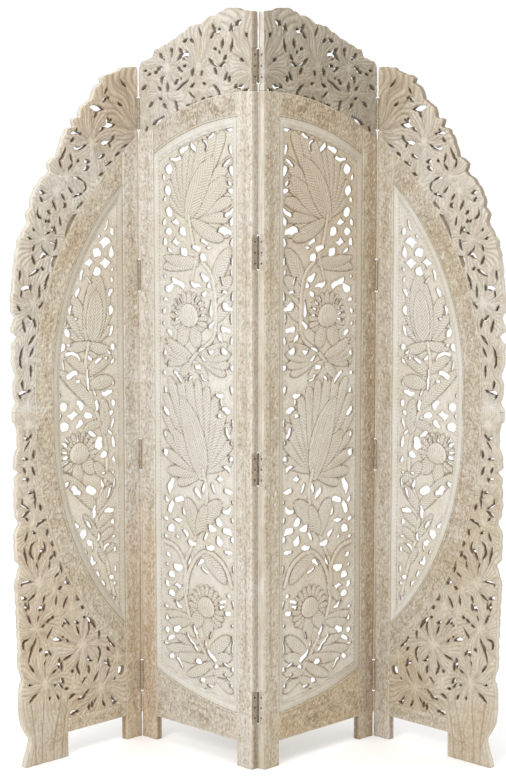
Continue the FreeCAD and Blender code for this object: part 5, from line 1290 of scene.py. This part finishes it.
F = outer_fret()
finish_fret(F, F.T - 50, oval_ring(F, RAIL), 32)
for part, z0, z1 in (("low", 0, 881), ("top", 881, 1700)):
    M = mesh_field(F, np.minimum(F.R, np.minimum(F.Z - z0, z1 - F.Z)), F.front, F.back, 0.4, F.R)
    for pan in OUTER:
        board(pan, "%s_fret_%s" % (pan.key, part), M, M_FRET, [pan.key + "_fret_panel"])


# ---------------------------------------------------------------- sawn plates: crests and borders
H_ALL = 1830.0
CREST = [(0.000, 0.9330), (0.020, 0.9385), (0.060, 0.9410), (0.110, 0.9430), (0.140, 0.9540), (0.190, 0.9560), (0.240, 0.9610),
         (0.300, 0.9650), (0.360, 0.9710), (0.420, 0.9770), (0.470, 0.9825), (0.540, 0.9830), (0.590, 0.9860), (0.620, 0.9910),
         (0.690, 0.9920), (0.740, 0.9965), (0.800, 1.0000), (0.850, 0.9995), (0.900, 0.9970), (0.950, 0.9945), (1.000, 0.9950)]
BORDER_TOP = [(0.000, 0.9330), (0.110, 0.9310), (0.165, 0.9245), (0.235, 0.9210), (0.285, 0.9165), (0.265, 0.9100), (0.322, 0.9060),
              (0.357, 0.8900), (0.390, 0.8835), (0.437, 0.8790), (0.465, 0.8630), (0.520, 0.8625), (0.500, 0.8530), (0.560, 0.8480),
              (0.600, 0.8340), (0.635, 0.8140), (0.715, 0.8040), (0.690, 0.7940), (0.762, 0.7830), (0.800, 0.7740), (0.838, 0.7600),
              (0.845, 0.7470), (0.880, 0.7380), (0.860, 0.7290), (0.905, 0.7150), (0.940, 0.7040), (0.962, 0.6850), (0.978, 0.6650),
              (0.985, 0.6460), (0.998, 0.6350), (0.998, 0.6130), (0.967, 0.6030), (1.000, 0.5920), (0.998, 0.5860), (0.948, 0.5790),
              (0.995, 0.5700), (0.998, 0.5420), (0.967, 0.5300), (0.990, 0.5180), (0.992, 0.5040), (0.968, 0.4930), (0.994, 0.4850)]
BORDER_LOW = [(1.000, 0.4780), (0.996, 0.4680), (0.967, 0.4600), (0.964, 0.4340), (0.995, 0.4190), (0.995, 0.4070), (0.962, 0.4000),
              (0.990, 0.3920), (0.992, 0.3760), (0.997, 0.3560), (0.990, 0.3440), (0.962, 0.3300), (0.996, 0.3220), (0.999, 0.3080),
              (0.994, 0.2840), (0.958, 0.2740), (0.996, 0.2560), (0.999, 0.2400), (0.990, 0.2180), (0.988, 0.1900), (0.982, 0.1640),
              (0.986, 0.1420), (0.968, 0.1270), (0.952, 0.1190), (0.974, 0.1140), (0.980, 0.1030)]

# sawn slots: points along each, then its half width; a single point and two radii is a drilled opening
SLOT_CREST = [
    ((8, 1652), (20, 1661), 4), ((32, 1610), (44, 1618), 4), ((48, 1567), (62, 1573), (88, 1583), 4), ((18, 1552), (25, 1557), 4),
    ((68, 1630), (78, 1626), 3), ((66, 1656), (76, 1650), 3.5), ((79, 1668), (79, 1680), 4), (88, 1678, 4, 4), ((102, 1650), (102, 1662), 6),
    ((128, 1664), (140, 1672), 4), ((130, 1646), (146, 1654), (175, 1670), 3), (152, 1677, 3, 3), ((186, 1655), (198, 1662), 3),
    ((140, 1700), (150, 1697), (156, 1694), 3.5), ((158, 1706), (170, 1706), 3), ((192, 1684), (194, 1696), 6), ((138, 1720), (148, 1730), (152, 1735), 3.5),
    ((146, 1745), (158, 1737), (164, 1733), 4.5), ((156, 1727), (162, 1723), 3.5), (172, 1733, 7, 7), (118, 1746, 7, 7), ((118, 1742), (118, 1730), 3),
    ((74, 1734), (82, 1730), 4.5), (90, 1725, 3.5, 3.5), ((55, 1692), (64, 1692), 3.5), (68, 1700, 6, 6), (78, 1704, 4, 4), ((30, 1687), (40, 1690), 2.5),
    ((12, 1698), (25, 1698), 2), ((160, 1765), (172, 1770), 3.5), ((186, 1767), (198, 1763), 3.5), ((86, 1613), (98, 1606), 3.5),
    ((138, 1596), (133, 1612), (128, 1622), 3.5), ((172, 1610), (182, 1608), 5), (192, 1608, 5, 5), ((182, 1639), (198, 1630), 3),
    ((200, 1615), (206, 1617), 3), ((216, 1793), (224, 1777), 3.5), ((256, 1770), (268, 1782), 4), ((264, 1797), (272, 1788), (284, 1780), 4),
    (288, 1788, 5, 5), ((296, 1748), (299, 1760), 5), ((268, 1745), (278, 1743), 3), (288, 1735, 4, 4), ((252, 1719), (264, 1710), (278, 1704), 3.5),
    ((270, 1698), (277, 1686), 4), ((304, 1718), (310, 1724), 4.5), ((288, 1704), (306, 1709), 4), ((324, 1784), (330, 1798), 3.5),
    ((332, 1782), (336, 1792), 2.5), ((332, 1764), (330, 1750), (327, 1737), 4), ((346, 1797), (360, 1805), 5), ((376, 1776), (383, 1770), 3.5),
    ((362, 1717), (369, 1714), 4), ((305, 1670), (312, 1680), (316, 1684), 3.5), (322, 1670, 7, 7), ((228, 1664), (236, 1662), 3),
    ((222, 1686), (228, 1690), 3.5), ((268, 1658), (278, 1650), (286, 1640), (290, 1631), 4), ((340, 1650), (346, 1656), 3.5),
    ((352, 1650), (368, 1653), 4.5), ((320, 1632), (334, 1634), 4), ((371, 1640), (385, 1645), 4), ((252, 1626), (262, 1627), 4), ((226, 1624), (232, 1626), 4)]
SLOT_TOP = [
    ((52, 1674), (34, 1658), 2.5), ((60, 1618), (51, 1614), 3), ((97, 1652), (104, 1641), 3), ((109, 1622), (98, 1631), 3.5), (93, 1629, 3, 3),
    ((147, 1606), (113, 1603), 6), ((137, 1584), (128, 1598), 3.5), ((95, 1578), (93, 1566), 6), ((100, 1563), (72, 1565), 4.5), (84, 1577, 3, 3),
    ((120, 1551), (106, 1560), 3.5), ((112, 1521), (84, 1523), 4.5), ((80, 1526), (76, 1536), 4), ((87, 1519), (86, 1512), 3), ((211, 1544), (189, 1543), 3.5),
    (196, 1552, 3, 3), (183, 1542, 3, 3), ((215, 1525), (208, 1530), 3), ((187, 1506), (166, 1516), 3), ((205, 1509), (188, 1506), 3),
    ((216, 1491), (212, 1476), 2.8), (192, 1478, 3.5, 3.5), ((168, 1475), (156, 1475), 4.5), ((173, 1457), (162, 1460), 5), ((125, 1483), (108, 1490), 4),
    ((69, 1490), (57, 1497), 3), ((48, 1511), (29, 1517), 2.5), ((102, 1466), (85, 1473), 3), ((125, 1441), (114, 1447), 3),
    ((234, 1503), (242, 1488), (253, 1477), 3), ((252, 1476), (248, 1462), 2.8), ((222, 1457), (213, 1469), 2.8), ((208, 1437), (190, 1435), (176, 1427), 2.2),
    ((173, 1426), (167, 1413), (176, 1402), 2.5), ((225, 1413), (212, 1402), 2.5), ((206, 1392), (196, 1396), 3), ((190, 1397), (182, 1397), 3),
    ((197, 1361), (180, 1377), 2.5), ((244, 1396), (238, 1386), 2.8), (239, 1370, 7, 7), ((275, 1380), (265, 1363), 3), ((290, 1357), (281, 1350), 2.8),
    ((314, 1405), (301, 1401), 4), ((316, 1392), (307, 1381), 2.8), ((322, 1362), (321, 1350), (312, 1341), 3), (287, 1333, 3.5, 3.5), ((302, 1335), (292, 1332), 2.5),
    ((254, 1342), (250, 1323), 2.5), ((236, 1296), (222, 1325), (203, 1346), 2.8), ((271, 1320), (265, 1303), 3), ((279, 1318), (275, 1308), 3),
    ((296, 1303), (285, 1307), 2.2), ((283, 1283), (272, 1282), 2.2), ((264, 1287), (268, 1273), (273, 1265), 3), ((334, 1276), (338, 1266), 2.8),
    ((310, 1276), (303, 1262), (289, 1252), 2.5), ((312, 1248), (299, 1256), 5), ((341, 1251), (331, 1235), 3), ((265, 1248), (278, 1240), (276, 1227), 3),
    ((350, 1206), (322, 1217), 4), ((314, 1222), (306, 1219), 3), ((288, 1206), (298, 1187), (300, 1173), 3), ((350, 1295), (343, 1294), 3),
    ((338, 1316), (334, 1313), 2), ((377, 1216), (381, 1198), 3), ((374, 1176), (352, 1176), 5), ((347, 1183), (347, 1170), 2.5), ((319, 1181), (320, 1152), 3),
    ((376, 1169), (378, 1157), 2.2), ((313, 1136), (319, 1126), 3), ((388, 1135), (379, 1124), 2.8), ((355, 1106), (341, 1094), 3.5), ((336, 1099), (335, 1080), 3.5),
    ((373, 1099), (367, 1073), 3), ((336, 1059), (347, 1048), (354, 1041), 2.8), ((341, 1030), (351, 1012), 2.8), ((372, 1034), (382, 1008), (377, 987), 2.8),
    ((350, 983), (351, 962), 3), ((376, 951), (374, 936), 3), ((380, 927), (364, 926), 4.5), ((360, 926), (352, 930), 3), ((384, 921), (380, 912), 2.8)]
SLOT_LOW = [
    ((374, 818), (362, 812), 3.5), ((358, 814), (350, 820), 3), ((358, 805), (365, 796), (371, 788), 2.5), ((345, 780), (344, 763), 3), ((381, 765), (372, 764), 2.8),
    ((370, 764), (363, 761), 3), ((377, 743), (370, 731), 2.5), ((348, 740), (343, 725), 3), ((378, 716), (365, 714), 2.5), ((361, 714), (364, 707), 2.5),
    ((361, 684), (351, 681), 3), ((345, 685), (343, 669), 3.2), ((340, 667), (342, 643), 3), ((382, 667), (381, 654), (370, 646), (362, 640), 2.5),
    ((325, 646), (324, 635), 3.5), ((381, 626), (362, 634), 4.5), ((372, 620), (366, 613), 2.5), ((338, 594), (328, 604), (311, 607), 3), ((369, 581), (376, 563), 2.8),
    ((351, 582), (342, 577), 2.5), ((304, 580), (304, 571), 3.5), ((347, 557), (356, 548), (357, 531), (351, 517), 3), ((378, 545), (374, 522), (370, 508), 2.6),
    ((334, 513), (325, 527), 3.5), ((326, 529), (319, 536), 3.5), ((316, 552), (311, 540), (316, 527), 2.6), ((291, 548), (289, 540), 3.5), ((340, 505), (336, 491), 2.2),
    ((295, 510), (286, 516), 3.5), ((283, 524), (278, 511), 2.6), ((297, 503), (299, 485), 2), ((263, 490), (256, 470), 3), ((280, 462), (268, 469), 2.2),
    ((386, 455), (380, 461), (356, 460), 2.8), ((244, 453), (235, 436), 2.6), ((249, 446), (241, 440), 2.5), ((269, 428), (261, 434), 3),
    ((345, 428), (357, 420), (367, 415), 2.6), ((387, 424), (373, 420), 4), ((377, 409), (374, 394), 4), ((366, 410), (366, 395), 2.5), ((315, 416), (320, 405), 2.6),
    ((317, 399), (317, 385), 3), (329, 390, 7, 7), ((278, 410), (281, 393), 3), ((243, 405), (250, 390), (254, 380), 3), ((214, 402), (208, 394), 4),
    ((195, 372), (191, 368), 4), ((373, 381), (361, 360), 2.5), ((333, 370), (338, 359), 2), (291, 361, 4.5, 4.5), ((308, 352), (300, 357), 2.5), ((324, 342), (316, 346), 2.2),
    ((254, 351), (246, 344), (235, 332), 2.6), ((261, 343), (250, 338), 2.2), (260, 335, 3, 3), ((218, 336), (208, 333), 3), ((214, 326), (206, 307), 2.8),
    ((192, 344), (186, 342), 2.5), ((176, 339), (165, 331), (149, 311), 2.8), ((174, 334), (171, 318), (175, 300), 2.6), ((309, 312), (294, 333), 2.6),
    ((370, 320), (384, 312), (383, 297), 3), ((347, 314), (356, 300), (362, 285), (367, 262), 3), ((366, 254), (352, 235), 2.4), (331, 285, 4.5, 4.5),
    ((287, 304), (264, 299), 4), (259, 307, 2.5, 2.5), ((247, 296), (239, 291), 2.2), (312, 272, 6.5, 6.5), ((305, 279), (297, 267), 2.8), ((315, 255), (319, 246), 2),
    ((235, 254), (257, 245), 2.8), ((270, 251), (271, 232), 4), ((262, 240), (263, 226), 3.5), ((292, 221), (279, 227), 2.2), (228, 213, 3.8, 3.8),
    ((209, 233), (213, 218), (206, 203), 3.2), ((177, 242), (172, 230), (163, 227), 2.8), ((176, 214), (174, 202), 4.5), ((185, 190), (198, 174), 2),
    ((139, 300), (138, 283), 2.8), ((141, 258), (138, 240), (143, 221), 2.8), ((110, 278), (100, 264), (88, 252), 2.8), ((112, 252), (106, 246), 3),
    ((123, 219), (116, 210), 2.2), ((112, 221), (108, 208), (104, 202), 3.5), ((107, 195), (114, 181), 2.6), ((144, 194), (157, 176), 3.2), (67, 185, 11, 12),
    (88, 168, 2.5, 2.5), ((60, 248), (53, 236), 3), ((264, 199), (258, 190), 4.5), ((276, 190), (261, 178), 2.5), (285, 189, 2.5, 2.5), ((253, 175), (244, 174), 2.5),
    ((345, 178), (358, 168), (366, 160), 3), ((361, 205), (371, 207), 2.5), (303, 158, 4, 4), ((278, 162), (274, 154), 3), ((237, 148), (222, 155), 3.5),
    ((190, 148), (174, 154), 2.5), ((209, 138), (198, 144), 3), ((196, 138), (187, 146), 4), ((176, 116), (174, 106), 4), ((165, 118), (163, 110), 4),
    ((150, 128), (156, 120), 2), ((128, 118), (124, 104), 2.8), ((98, 120), (90, 108), 2.6), ((95, 105), (84, 105), 3), ((232, 107), (223, 107), 4.5), ((219, 110), (212, 106), 2.8)]

# feet of the leaf fans, with a reach for each
FAN_CREST = [(214, 1698, 1.15), (100, 1702, 1.0), (84, 1640, 1.0), (234, 1650, 0.85), (402, 1686, 1.5), (14, 1668, 0.6), (300, 1716, 0.7), (12, 1580, 0.7)]
FAN_TOP = [(-8, 1548, 1.7), (148, 1522, 1.1), (226, 1440, 1.0), (262, 1404, 0.8), (300, 1290, 1.05), (338, 1138, 1.05), (362, 1006, 0.9), (366, 890, 0.9), (168, 1466, 0.5), (250, 1340, 0.6)]
FAN_LOW = [(362, 846, 0.8), (364, 748, 0.8), (366, 664, 0.7), (336, 456, 1.0), (346, 342, 1.0), (196, 276, 1.25), (316, 200, 1.15), (136, 152, 1.15), (78, 224, 0.7),
           (284, 430, 0.8), (352, 600, 0.6), (230, 380, 0.6)]


def edge_line(F, pts):
    """Distance to the free outline and the length run along it."""
    pts = np.array(pts, float)
    d, s, lat = along(F.T, F.Z, pts)
    seg = np.diff(pts, axis=0)
    return d, s * np.hypot(seg[:, 0], seg[:, 1]).sum()


def fan_lines(F, fans, deep, lines=40):
    """Shallow ribs spreading from each fan's foot over the leaves round it."""
    best, second = np.full(F.T.shape, 1e9), np.full(F.T.shape, 1e9)
    ang, rad = np.zeros(F.T.shape), np.zeros(F.T.shape)
    for k, (t, z, reach) in enumerate(fans):
        r = np.hypot(F.T - t, F.Z - z)
        m = r / reach
        take = m < best
        second = np.where(take, best, np.minimum(second, m))
        best = np.where(take, m, best)
        ang = np.where(take, np.arctan2(F.Z - z, F.T - t) + 0.7 * k + 0.10 * np.sin(r / 17.0), ang)
        rad = np.where(take, r, rad)
    fade = np.clip((second - best) / 9.0, 0, 1) * np.clip((rad - 7.0) / 10.0, 0, 1)
    rib = 0.5 + 0.5 * np.cos(ang * lines)
    F.H += fade * deep * (rib ** 0.8 - 0.6)
    lob = np.abs(np.cos(ang * 4.5 + 0.35 * np.sin(rad / 23.0)))
    F.H += fade * 1.3 * (lob ** 0.5 - 0.8)
    np.maximum(F.mark, 0.44 * fade * np.exp(-(lob / 0.17) ** 2), out=F.mark)
    F.H -= 0.7 * np.exp(-((second - best) / 3.0) ** 2)
    np.maximum(F.mark, 0.40 * fade * np.clip(1 - rib, 0, 1) ** 3, out=F.mark)
    np.maximum(F.mark, 0.22 * np.exp(-((second - best) / 2.0) ** 2), out=F.mark)
    F.H += 0.7 * np.exp(-(rad / 7.0) ** 2)


def lobe_cuts(F, slots, fans):
    """From each slot a cut runs in towards the foot of its fan, so that the board parts into leaf lobes."""
    near = np.full(F.T.shape, 99.0)
    for h in slots:
        pts = np.array(h[:-1] if isinstance(h[0], tuple) else [h[:2]], float)
        mid = pts.mean(0)
        t, z, reach = min(fans, key=lambda f: math.hypot(mid[0] - f[0], mid[1] - f[1]) / f[2])
        foot = np.array([t, z], float)
        p = min(pts, key=lambda v: np.hypot(*(v - foot)))
        L = np.hypot(*(foot - p))
        if L < 10 or L > 150:
            continue
        e = (foot - p) / L
        n = np.array([-e[1], e[0]])
        line = curve([p, p + e * L * 0.40 + n * L * 0.05, p + e * min(L * 0.80, 74.0)], 8)
        sl = F.window(line[:, 0].min() - 14, line[:, 0].max() + 14, line[:, 1].min() - 14, line[:, 1].max() + 14)
        if sl is None:
            continue
        d, s, lat = along(F.T[sl] + F.wt[sl], F.Z[sl] + F.wz[sl], line)
        g = np.exp(-(d / 1.9) ** 2)
        F.H[sl] -= (1.7 - 1.2 * s) * g
        np.maximum(F.mark[sl], (0.58 - 0.42 * s) * g, out=F.mark[sl])
        np.minimum(near[sl], d + 9.0 * s, out=near[sl])
    F.H -= 1.0 * np.exp(-np.minimum(near, F.near) / 5.0)
    edge = np.minimum(near * 1.1 + 1.0, F.near)
    F.H += 0.7 * np.exp(-((edge - 4.2) / 1.9) ** 2) - 0.6 * np.exp(-((edge - 8.6) / 1.7) ** 2)
    np.maximum(F.mark, 0.26 * np.exp(-((edge - 8.6) / 1.5) ** 2), out=F.mark)


def plate(pans, F, R, name, outline, slots, fans, seed, mat=None, darkening=1.0, join=None):
    """A solid leaf-edged board with sawn slots between ribbed leaves; join is where it meets the next board, with the carving running on."""
    far, run = edge_line(F, outline)
    near_edge = far < 16
    scallop = 3.4 * np.abs(np.sin(math.pi * run / 31.0 + 0.7 * np.sin(run / 47.0))) ** 0.8 - 2.0
    scallop = scallop * np.clip(np.minimum(np.abs(F.Z - SPLIT) / 24.0, np.where(F.T > FOOT_T, np.abs(F.Z - 150.0) / 20.0, 1.0)), 0, 1)
    R = np.where(near_edge, R + scallop * np.clip(1 - far / 16.0, 0, 1), R)
    F.S = R.copy()
    F.near = np.full(F.T.shape, 99.0)
    F.warp(seed + 300, 0.9, 3)
    for h in slots:
        pierce(F, h, lean=0.6, sharp=True)
    np.minimum(F.S, R, out=F.S)
    F.H[:] = -1.2
    fan_lines(F, fans, 1.5)
    if name == "lower_border":
        rise, m = bark(F)
        share = np.clip((178.0 - F.Z) / 22.0, 0, 1) * np.clip((F.T - 240.0) / 12.0, 0, 1)
        F.H = F.H * (1 - share) + (rise - 1.4) * share
        F.mark = F.mark * (1 - share) + m * share
    lobe_cuts(F, slots, fans)
    hand_marks(F, seed, 0.35)
    calm = np.clip(np.abs(F.Z - SPLIT) / 15.0, 0, 1)
    ribs = np.cos((F.T - 340.0) * 2 * math.pi / (7.0 + 0.02 * np.abs(F.Z - SPLIT)))
    F.H = F.H * calm + (1 - calm) * (0.5 * ribs - 1.3)
    F.mark = np.where(calm < 1, F.mark * calm + (1 - calm) * 0.30 * np.clip(-ribs, 0, 1) ** 2, F.mark)
    lip = np.exp(-F.near / 3.4)
    rim = np.exp(-np.maximum(far, 0) / 2.6)
    F.H -= 1.8 * lip + 1.4 * rim
    # stain and painted shade hug the slot edges, scaled per board
    np.maximum(F.mark, 0.70 * darkening * np.exp(-F.near / 1.3), out=F.mark)
    F.H = np.clip(F.H, -6.0, -0.25)
    F.S = fill_pinholes(keep_joined(F.S, 150), 3)
    whole = F.S
    if join is not None:
        F.S = np.minimum(F.S, join)
    marks(F, 4, 0.22, 0.5)
    wear_edges(F, far, 3.0, 0.6)
    # painted shade on the slot walls, scaled per board, and a lighter painted shade on the outline walls
    F.wall_shade = np.where((F.near < 5.0) & (far > 2.5), 0.92 * darkening, 0.45)
    if name == "crest":
        # painted shade under the scallops along the crest's top edge towards the middle fold, on the face near the
        # outline and on the outline walls
        crest_rim_shade = np.clip((F.T - 250.0) / 60.0, 0, 1)
        np.maximum(F.stain, 0.34 * crest_rim_shade * np.exp(-np.maximum(far, 0) / 3.5), out=F.stain)
        F.wall_shade = np.where(F.near < 5.0, F.wall_shade, 0.45 + 0.25 * crest_rim_shade)
    front, back = np.maximum(-F.H - F.lead, -2.25), np.minimum(T + F.H * 0.8 + F.lip, T + 2.25)
    cells = int((F.S > 0).sum())
    parts = 1 if cells < 40000 else 2
    zs = np.quantile(F.Z[F.S > 0], np.linspace(0, 1, parts + 1))
    zs[0] -= 50
    zs[-1] += 50
    for k in range(parts):
        cut = np.minimum(F.Z - (zs[k] + 0.3), (zs[k + 1] + 0.3) - F.Z) if parts > 1 else F.S
        M = mesh_field(F, np.minimum(F.S, cut), front, back, 0.35, whole)
        for pan in pans:
            tag = "" if parts == 1 else "_%d" % (k + 1)
            board(pan, "%s_%s_leaves%s" % (pan.key, name, tag), M, mat or M_CARVED, [pan.key + "_" + name])


def bark(F):
    """The upright, wavering grain of a trunk: heights and marks."""
    wave = F.T + 7.0 * np.sin(F.Z / 38.0) + 2.5 * np.sin(F.Z / 13.0 + F.T / 21.0) + 2.2 * np.sin(F.T / 9.5 + F.Z / 47.0)
    ridge, fine, broad = np.sin(wave * 2 * math.pi / 12.0), np.sin(wave * 2 * math.pi / 5.2 + F.Z / 19.0), np.sin(wave * 2 * math.pi / 34.0 + 0.9)
    m = np.maximum(0.26 * np.exp(-((ridge + 1) / 0.40) ** 2), 0.20 * np.clip(-fine, 0, 1) ** 2)
    rise = 0.40 * ridge + 0.28 * fine + 0.45 * broad
    for foot, top, bow in ((329.0, 325.0, 3.0), (294.0, 268.0, 4.0), (266.0, 246.0, 3.0), (352.0, 361.0, -3.0)):
        s = np.clip(F.Z / 178.0, 0, 1.2)
        d = np.abs(F.T - (foot + (top - foot) * s + bow * np.sin(s * 5.5)))
        rise -= 1.5 * np.exp(-(d / 2.2) ** 2) - 0.5 * np.exp(-((d - 6.0) / 3.2) ** 2)
        m = np.maximum(m, 0.55 * np.exp(-(d / 1.5) ** 2))
    return rise, m


# crest of the middle panels
F = Field(-3, 405, 1515, 1844)
outline = [(f * W, z * H_ALL + 2.0 + 5.0 * min(max((f - 0.45) / 0.25, 0.0), 1.0)) for f, z in CREST]
poly = polygon(F, [(-5.0, 0.9325 * H_ALL)] + outline + [(406.0, 0.9952 * H_ALL + 7.0), (406.0, 1480.0), (-5.0, 1400.0)])
R = np.minimum(np.minimum(poly, close_edge(F) - F.T), np.minimum(F.T - close_side(F), -oval(F, OA + 0.2, OT + 0.2, OTC)))
plate(CENTRE, F, R, "crest", outline, SLOT_CREST, FAN_CREST, 41, darkening=0.74)

# upper border of the outer panels
F = Field(-3, 408, SPLIT - 9, 1714, outer=True)
outline = [(f * W, z * H_ALL) for f, z in BORDER_TOP]
poly = polygon(F, [(-5.0, 0.9330 * H_ALL)] + outline + [(0.998 * W, SPLIT), (1.0 * W, SPLIT - 12.0), (200.0, SPLIT - 12.0), (-5.0, 1300.0)])
R = np.minimum(np.minimum(poly, F.T - close_side(F)), -oval_ring(F, -0.2))
plate(OUTER, F, R, "upper_border", outline, SLOT_TOP, FAN_TOP, 42, join=F.Z - SPLIT - 0.05)

# lower border of the outer panels
F = Field(44, 408, 90, SPLIT + 9, outer=True)
outline = [(f * W, z * H_ALL) for f, z in BORDER_LOW]
poly = polygon(F, [(280.0, SPLIT + 12.0), (0.994 * W, SPLIT + 12.0), (0.998 * W, SPLIT)] + outline +
               [(0.982 * W, 150.2), (0.980 * W, 134.0), (FOOT_T - 0.2, 134.0), (FOOT_T - 0.2, 97.2), (50.2, 97.2), (50.2, 330.0)])
R = np.minimum(poly, -oval_ring(F, -0.2))
plate(OUTER, F, R, "lower_border", outline, SLOT_LOW, FAN_LOW, 43, mat=M_LOWER,
      join=np.minimum(SPLIT - 0.05 - F.Z, np.maximum(FOOT_T - 0.2 - F.T, F.Z - 150.1)))

# trunk-shaped outer foot with the grain of bark
F = Field(243, 398, -3, 153, ground=0.0, outer=True)
TRUNK = [(0.982, 1.00), (0.980, 0.87), (0.972, 0.74), (0.943, 0.59), (0.912, 0.47), (0.906, 0.40), (0.924, 0.26), (0.945, 0.13), (0.960, 0.00)]
R = polygon(F, [(FOOT_T, 0.0), (FOOT_T, 150.0)] + [(f * W, z * 150.0) for f, z in TRUNK])
F.H[:] = -0.5 - 0.9 * np.clip((F.Z - 110.0) / 40.0, 0, 1)
hand_marks(F, 51)
rise, m = bark(F)
F.H += rise
F.mark = np.maximum(F.mark, m)
flecks(F, R, 76, per=70.0, tone=0.5, low=0.0)
ease(F, np.where(F.Z > 140, 20.0, R), 2.0, 1.4)
marks(F, 4, 0.2, 0.5)
wear_edges(F, np.where(F.Z > 140, 20.0, R))
flat_piece(OUTER, F, R, "trunk_foot", mat=M_LOWER)

# ---------------------------------------------------------------- carried-over pieces: dowels and hinges
for node, obj in frame["nodes"].items():
    if node.endswith("middle_leaves"):
        # the left middle leaves take the shaded copy and the right the lit copy: painted shade and light
        mat = M_SHADED_STEEL if node.startswith("left") else M_LIT_STEEL
    elif node == "middle_hinge_pins":
        # dark pins as painted shade in the knuckle gap
        mat = M_SHADED_PIN
    elif node.endswith(("leaves", "pins")):
        mat = M_STEEL
    elif node == "right_centre_middle_screws":
        # paler screws on the lit right leaf: painted light
        mat = M_LIT_SCREW
    elif node.endswith("screws"):
        mat = M_SCREW
    elif node.endswith("dowels"):
        mat = M_BARE
    else:
        continue
    obj.data.materials.clear()
    obj.data.materials.append(mat)

# ---------------------------------------------------------------- floor, light, camera
bpy.ops.mesh.primitive_plane_add(size=60.0, location=(0, 0, -0.0005))
floor = bpy.context.object
floor.name = "floor"
mf = bpy.data.materials.new("pale_floor")
nt, bsdf = nodes_of(mf)
bsdf.inputs["Base Color"].default_value = (0.97, 0.97, 0.97, 1.0)
bsdf.inputs["Roughness"].default_value = 0.9
floor.data.materials.append(mf)

world = bpy.data.worlds.new("studio")
scene.world = world
world.use_nodes = True
bg = world.node_tree.nodes["Background"]
bg.inputs["Color"].default_value = (1.0, 1.0, 1.0, 1.0)
bg.inputs["Strength"].default_value = 1.04


def area(name, loc, aim, size, power, colour=(1.0, 1.0, 1.0)):
    L = bpy.data.lights.new(name, "AREA")
    L.shape = "RECTANGLE"
    L.size, L.size_y = size
    L.energy = power
    L.color = colour
    ob = bpy.data.objects.new(name, L)
    scene.collection.objects.link(ob)
    ob.location = loc
    ob.rotation_euler = (Vector(aim) - Vector(loc)).to_track_quat("-Z", "Y").to_euler()
    return ob


area("key", (-2.1, -3.3, 2.9), (0, 0, 0.95), (1.5, 1.5), 72.0)
area("fill", (3.6, -3.0, 1.7), (-0.6, 0, 0.9), (1.6, 1.6), 8.0)
area("top", (0.4, -1.2, 4.2), (0, 0, 0.9), (2.5, 2.5), 40.0)

cam = bpy.data.cameras.new("camera")
cam.sensor_fit = "AUTO"
cam.sensor_width = 36.0
cam.lens = 2029.1 * 36.0 / 776.0
cam.clip_end = 100.0
view = bpy.data.objects.new("camera", cam)
scene.collection.objects.link(view)
view.location = (-0.0124, (MIDY - 4822.3) / 1000.0, 1.5283)
view.rotation_euler = (math.radians(90) - 0.1218, 0.0, 0.0)
scene.camera = view
scene.view_settings.view_transform = "Standard"
scene.view_settings.look = "None"
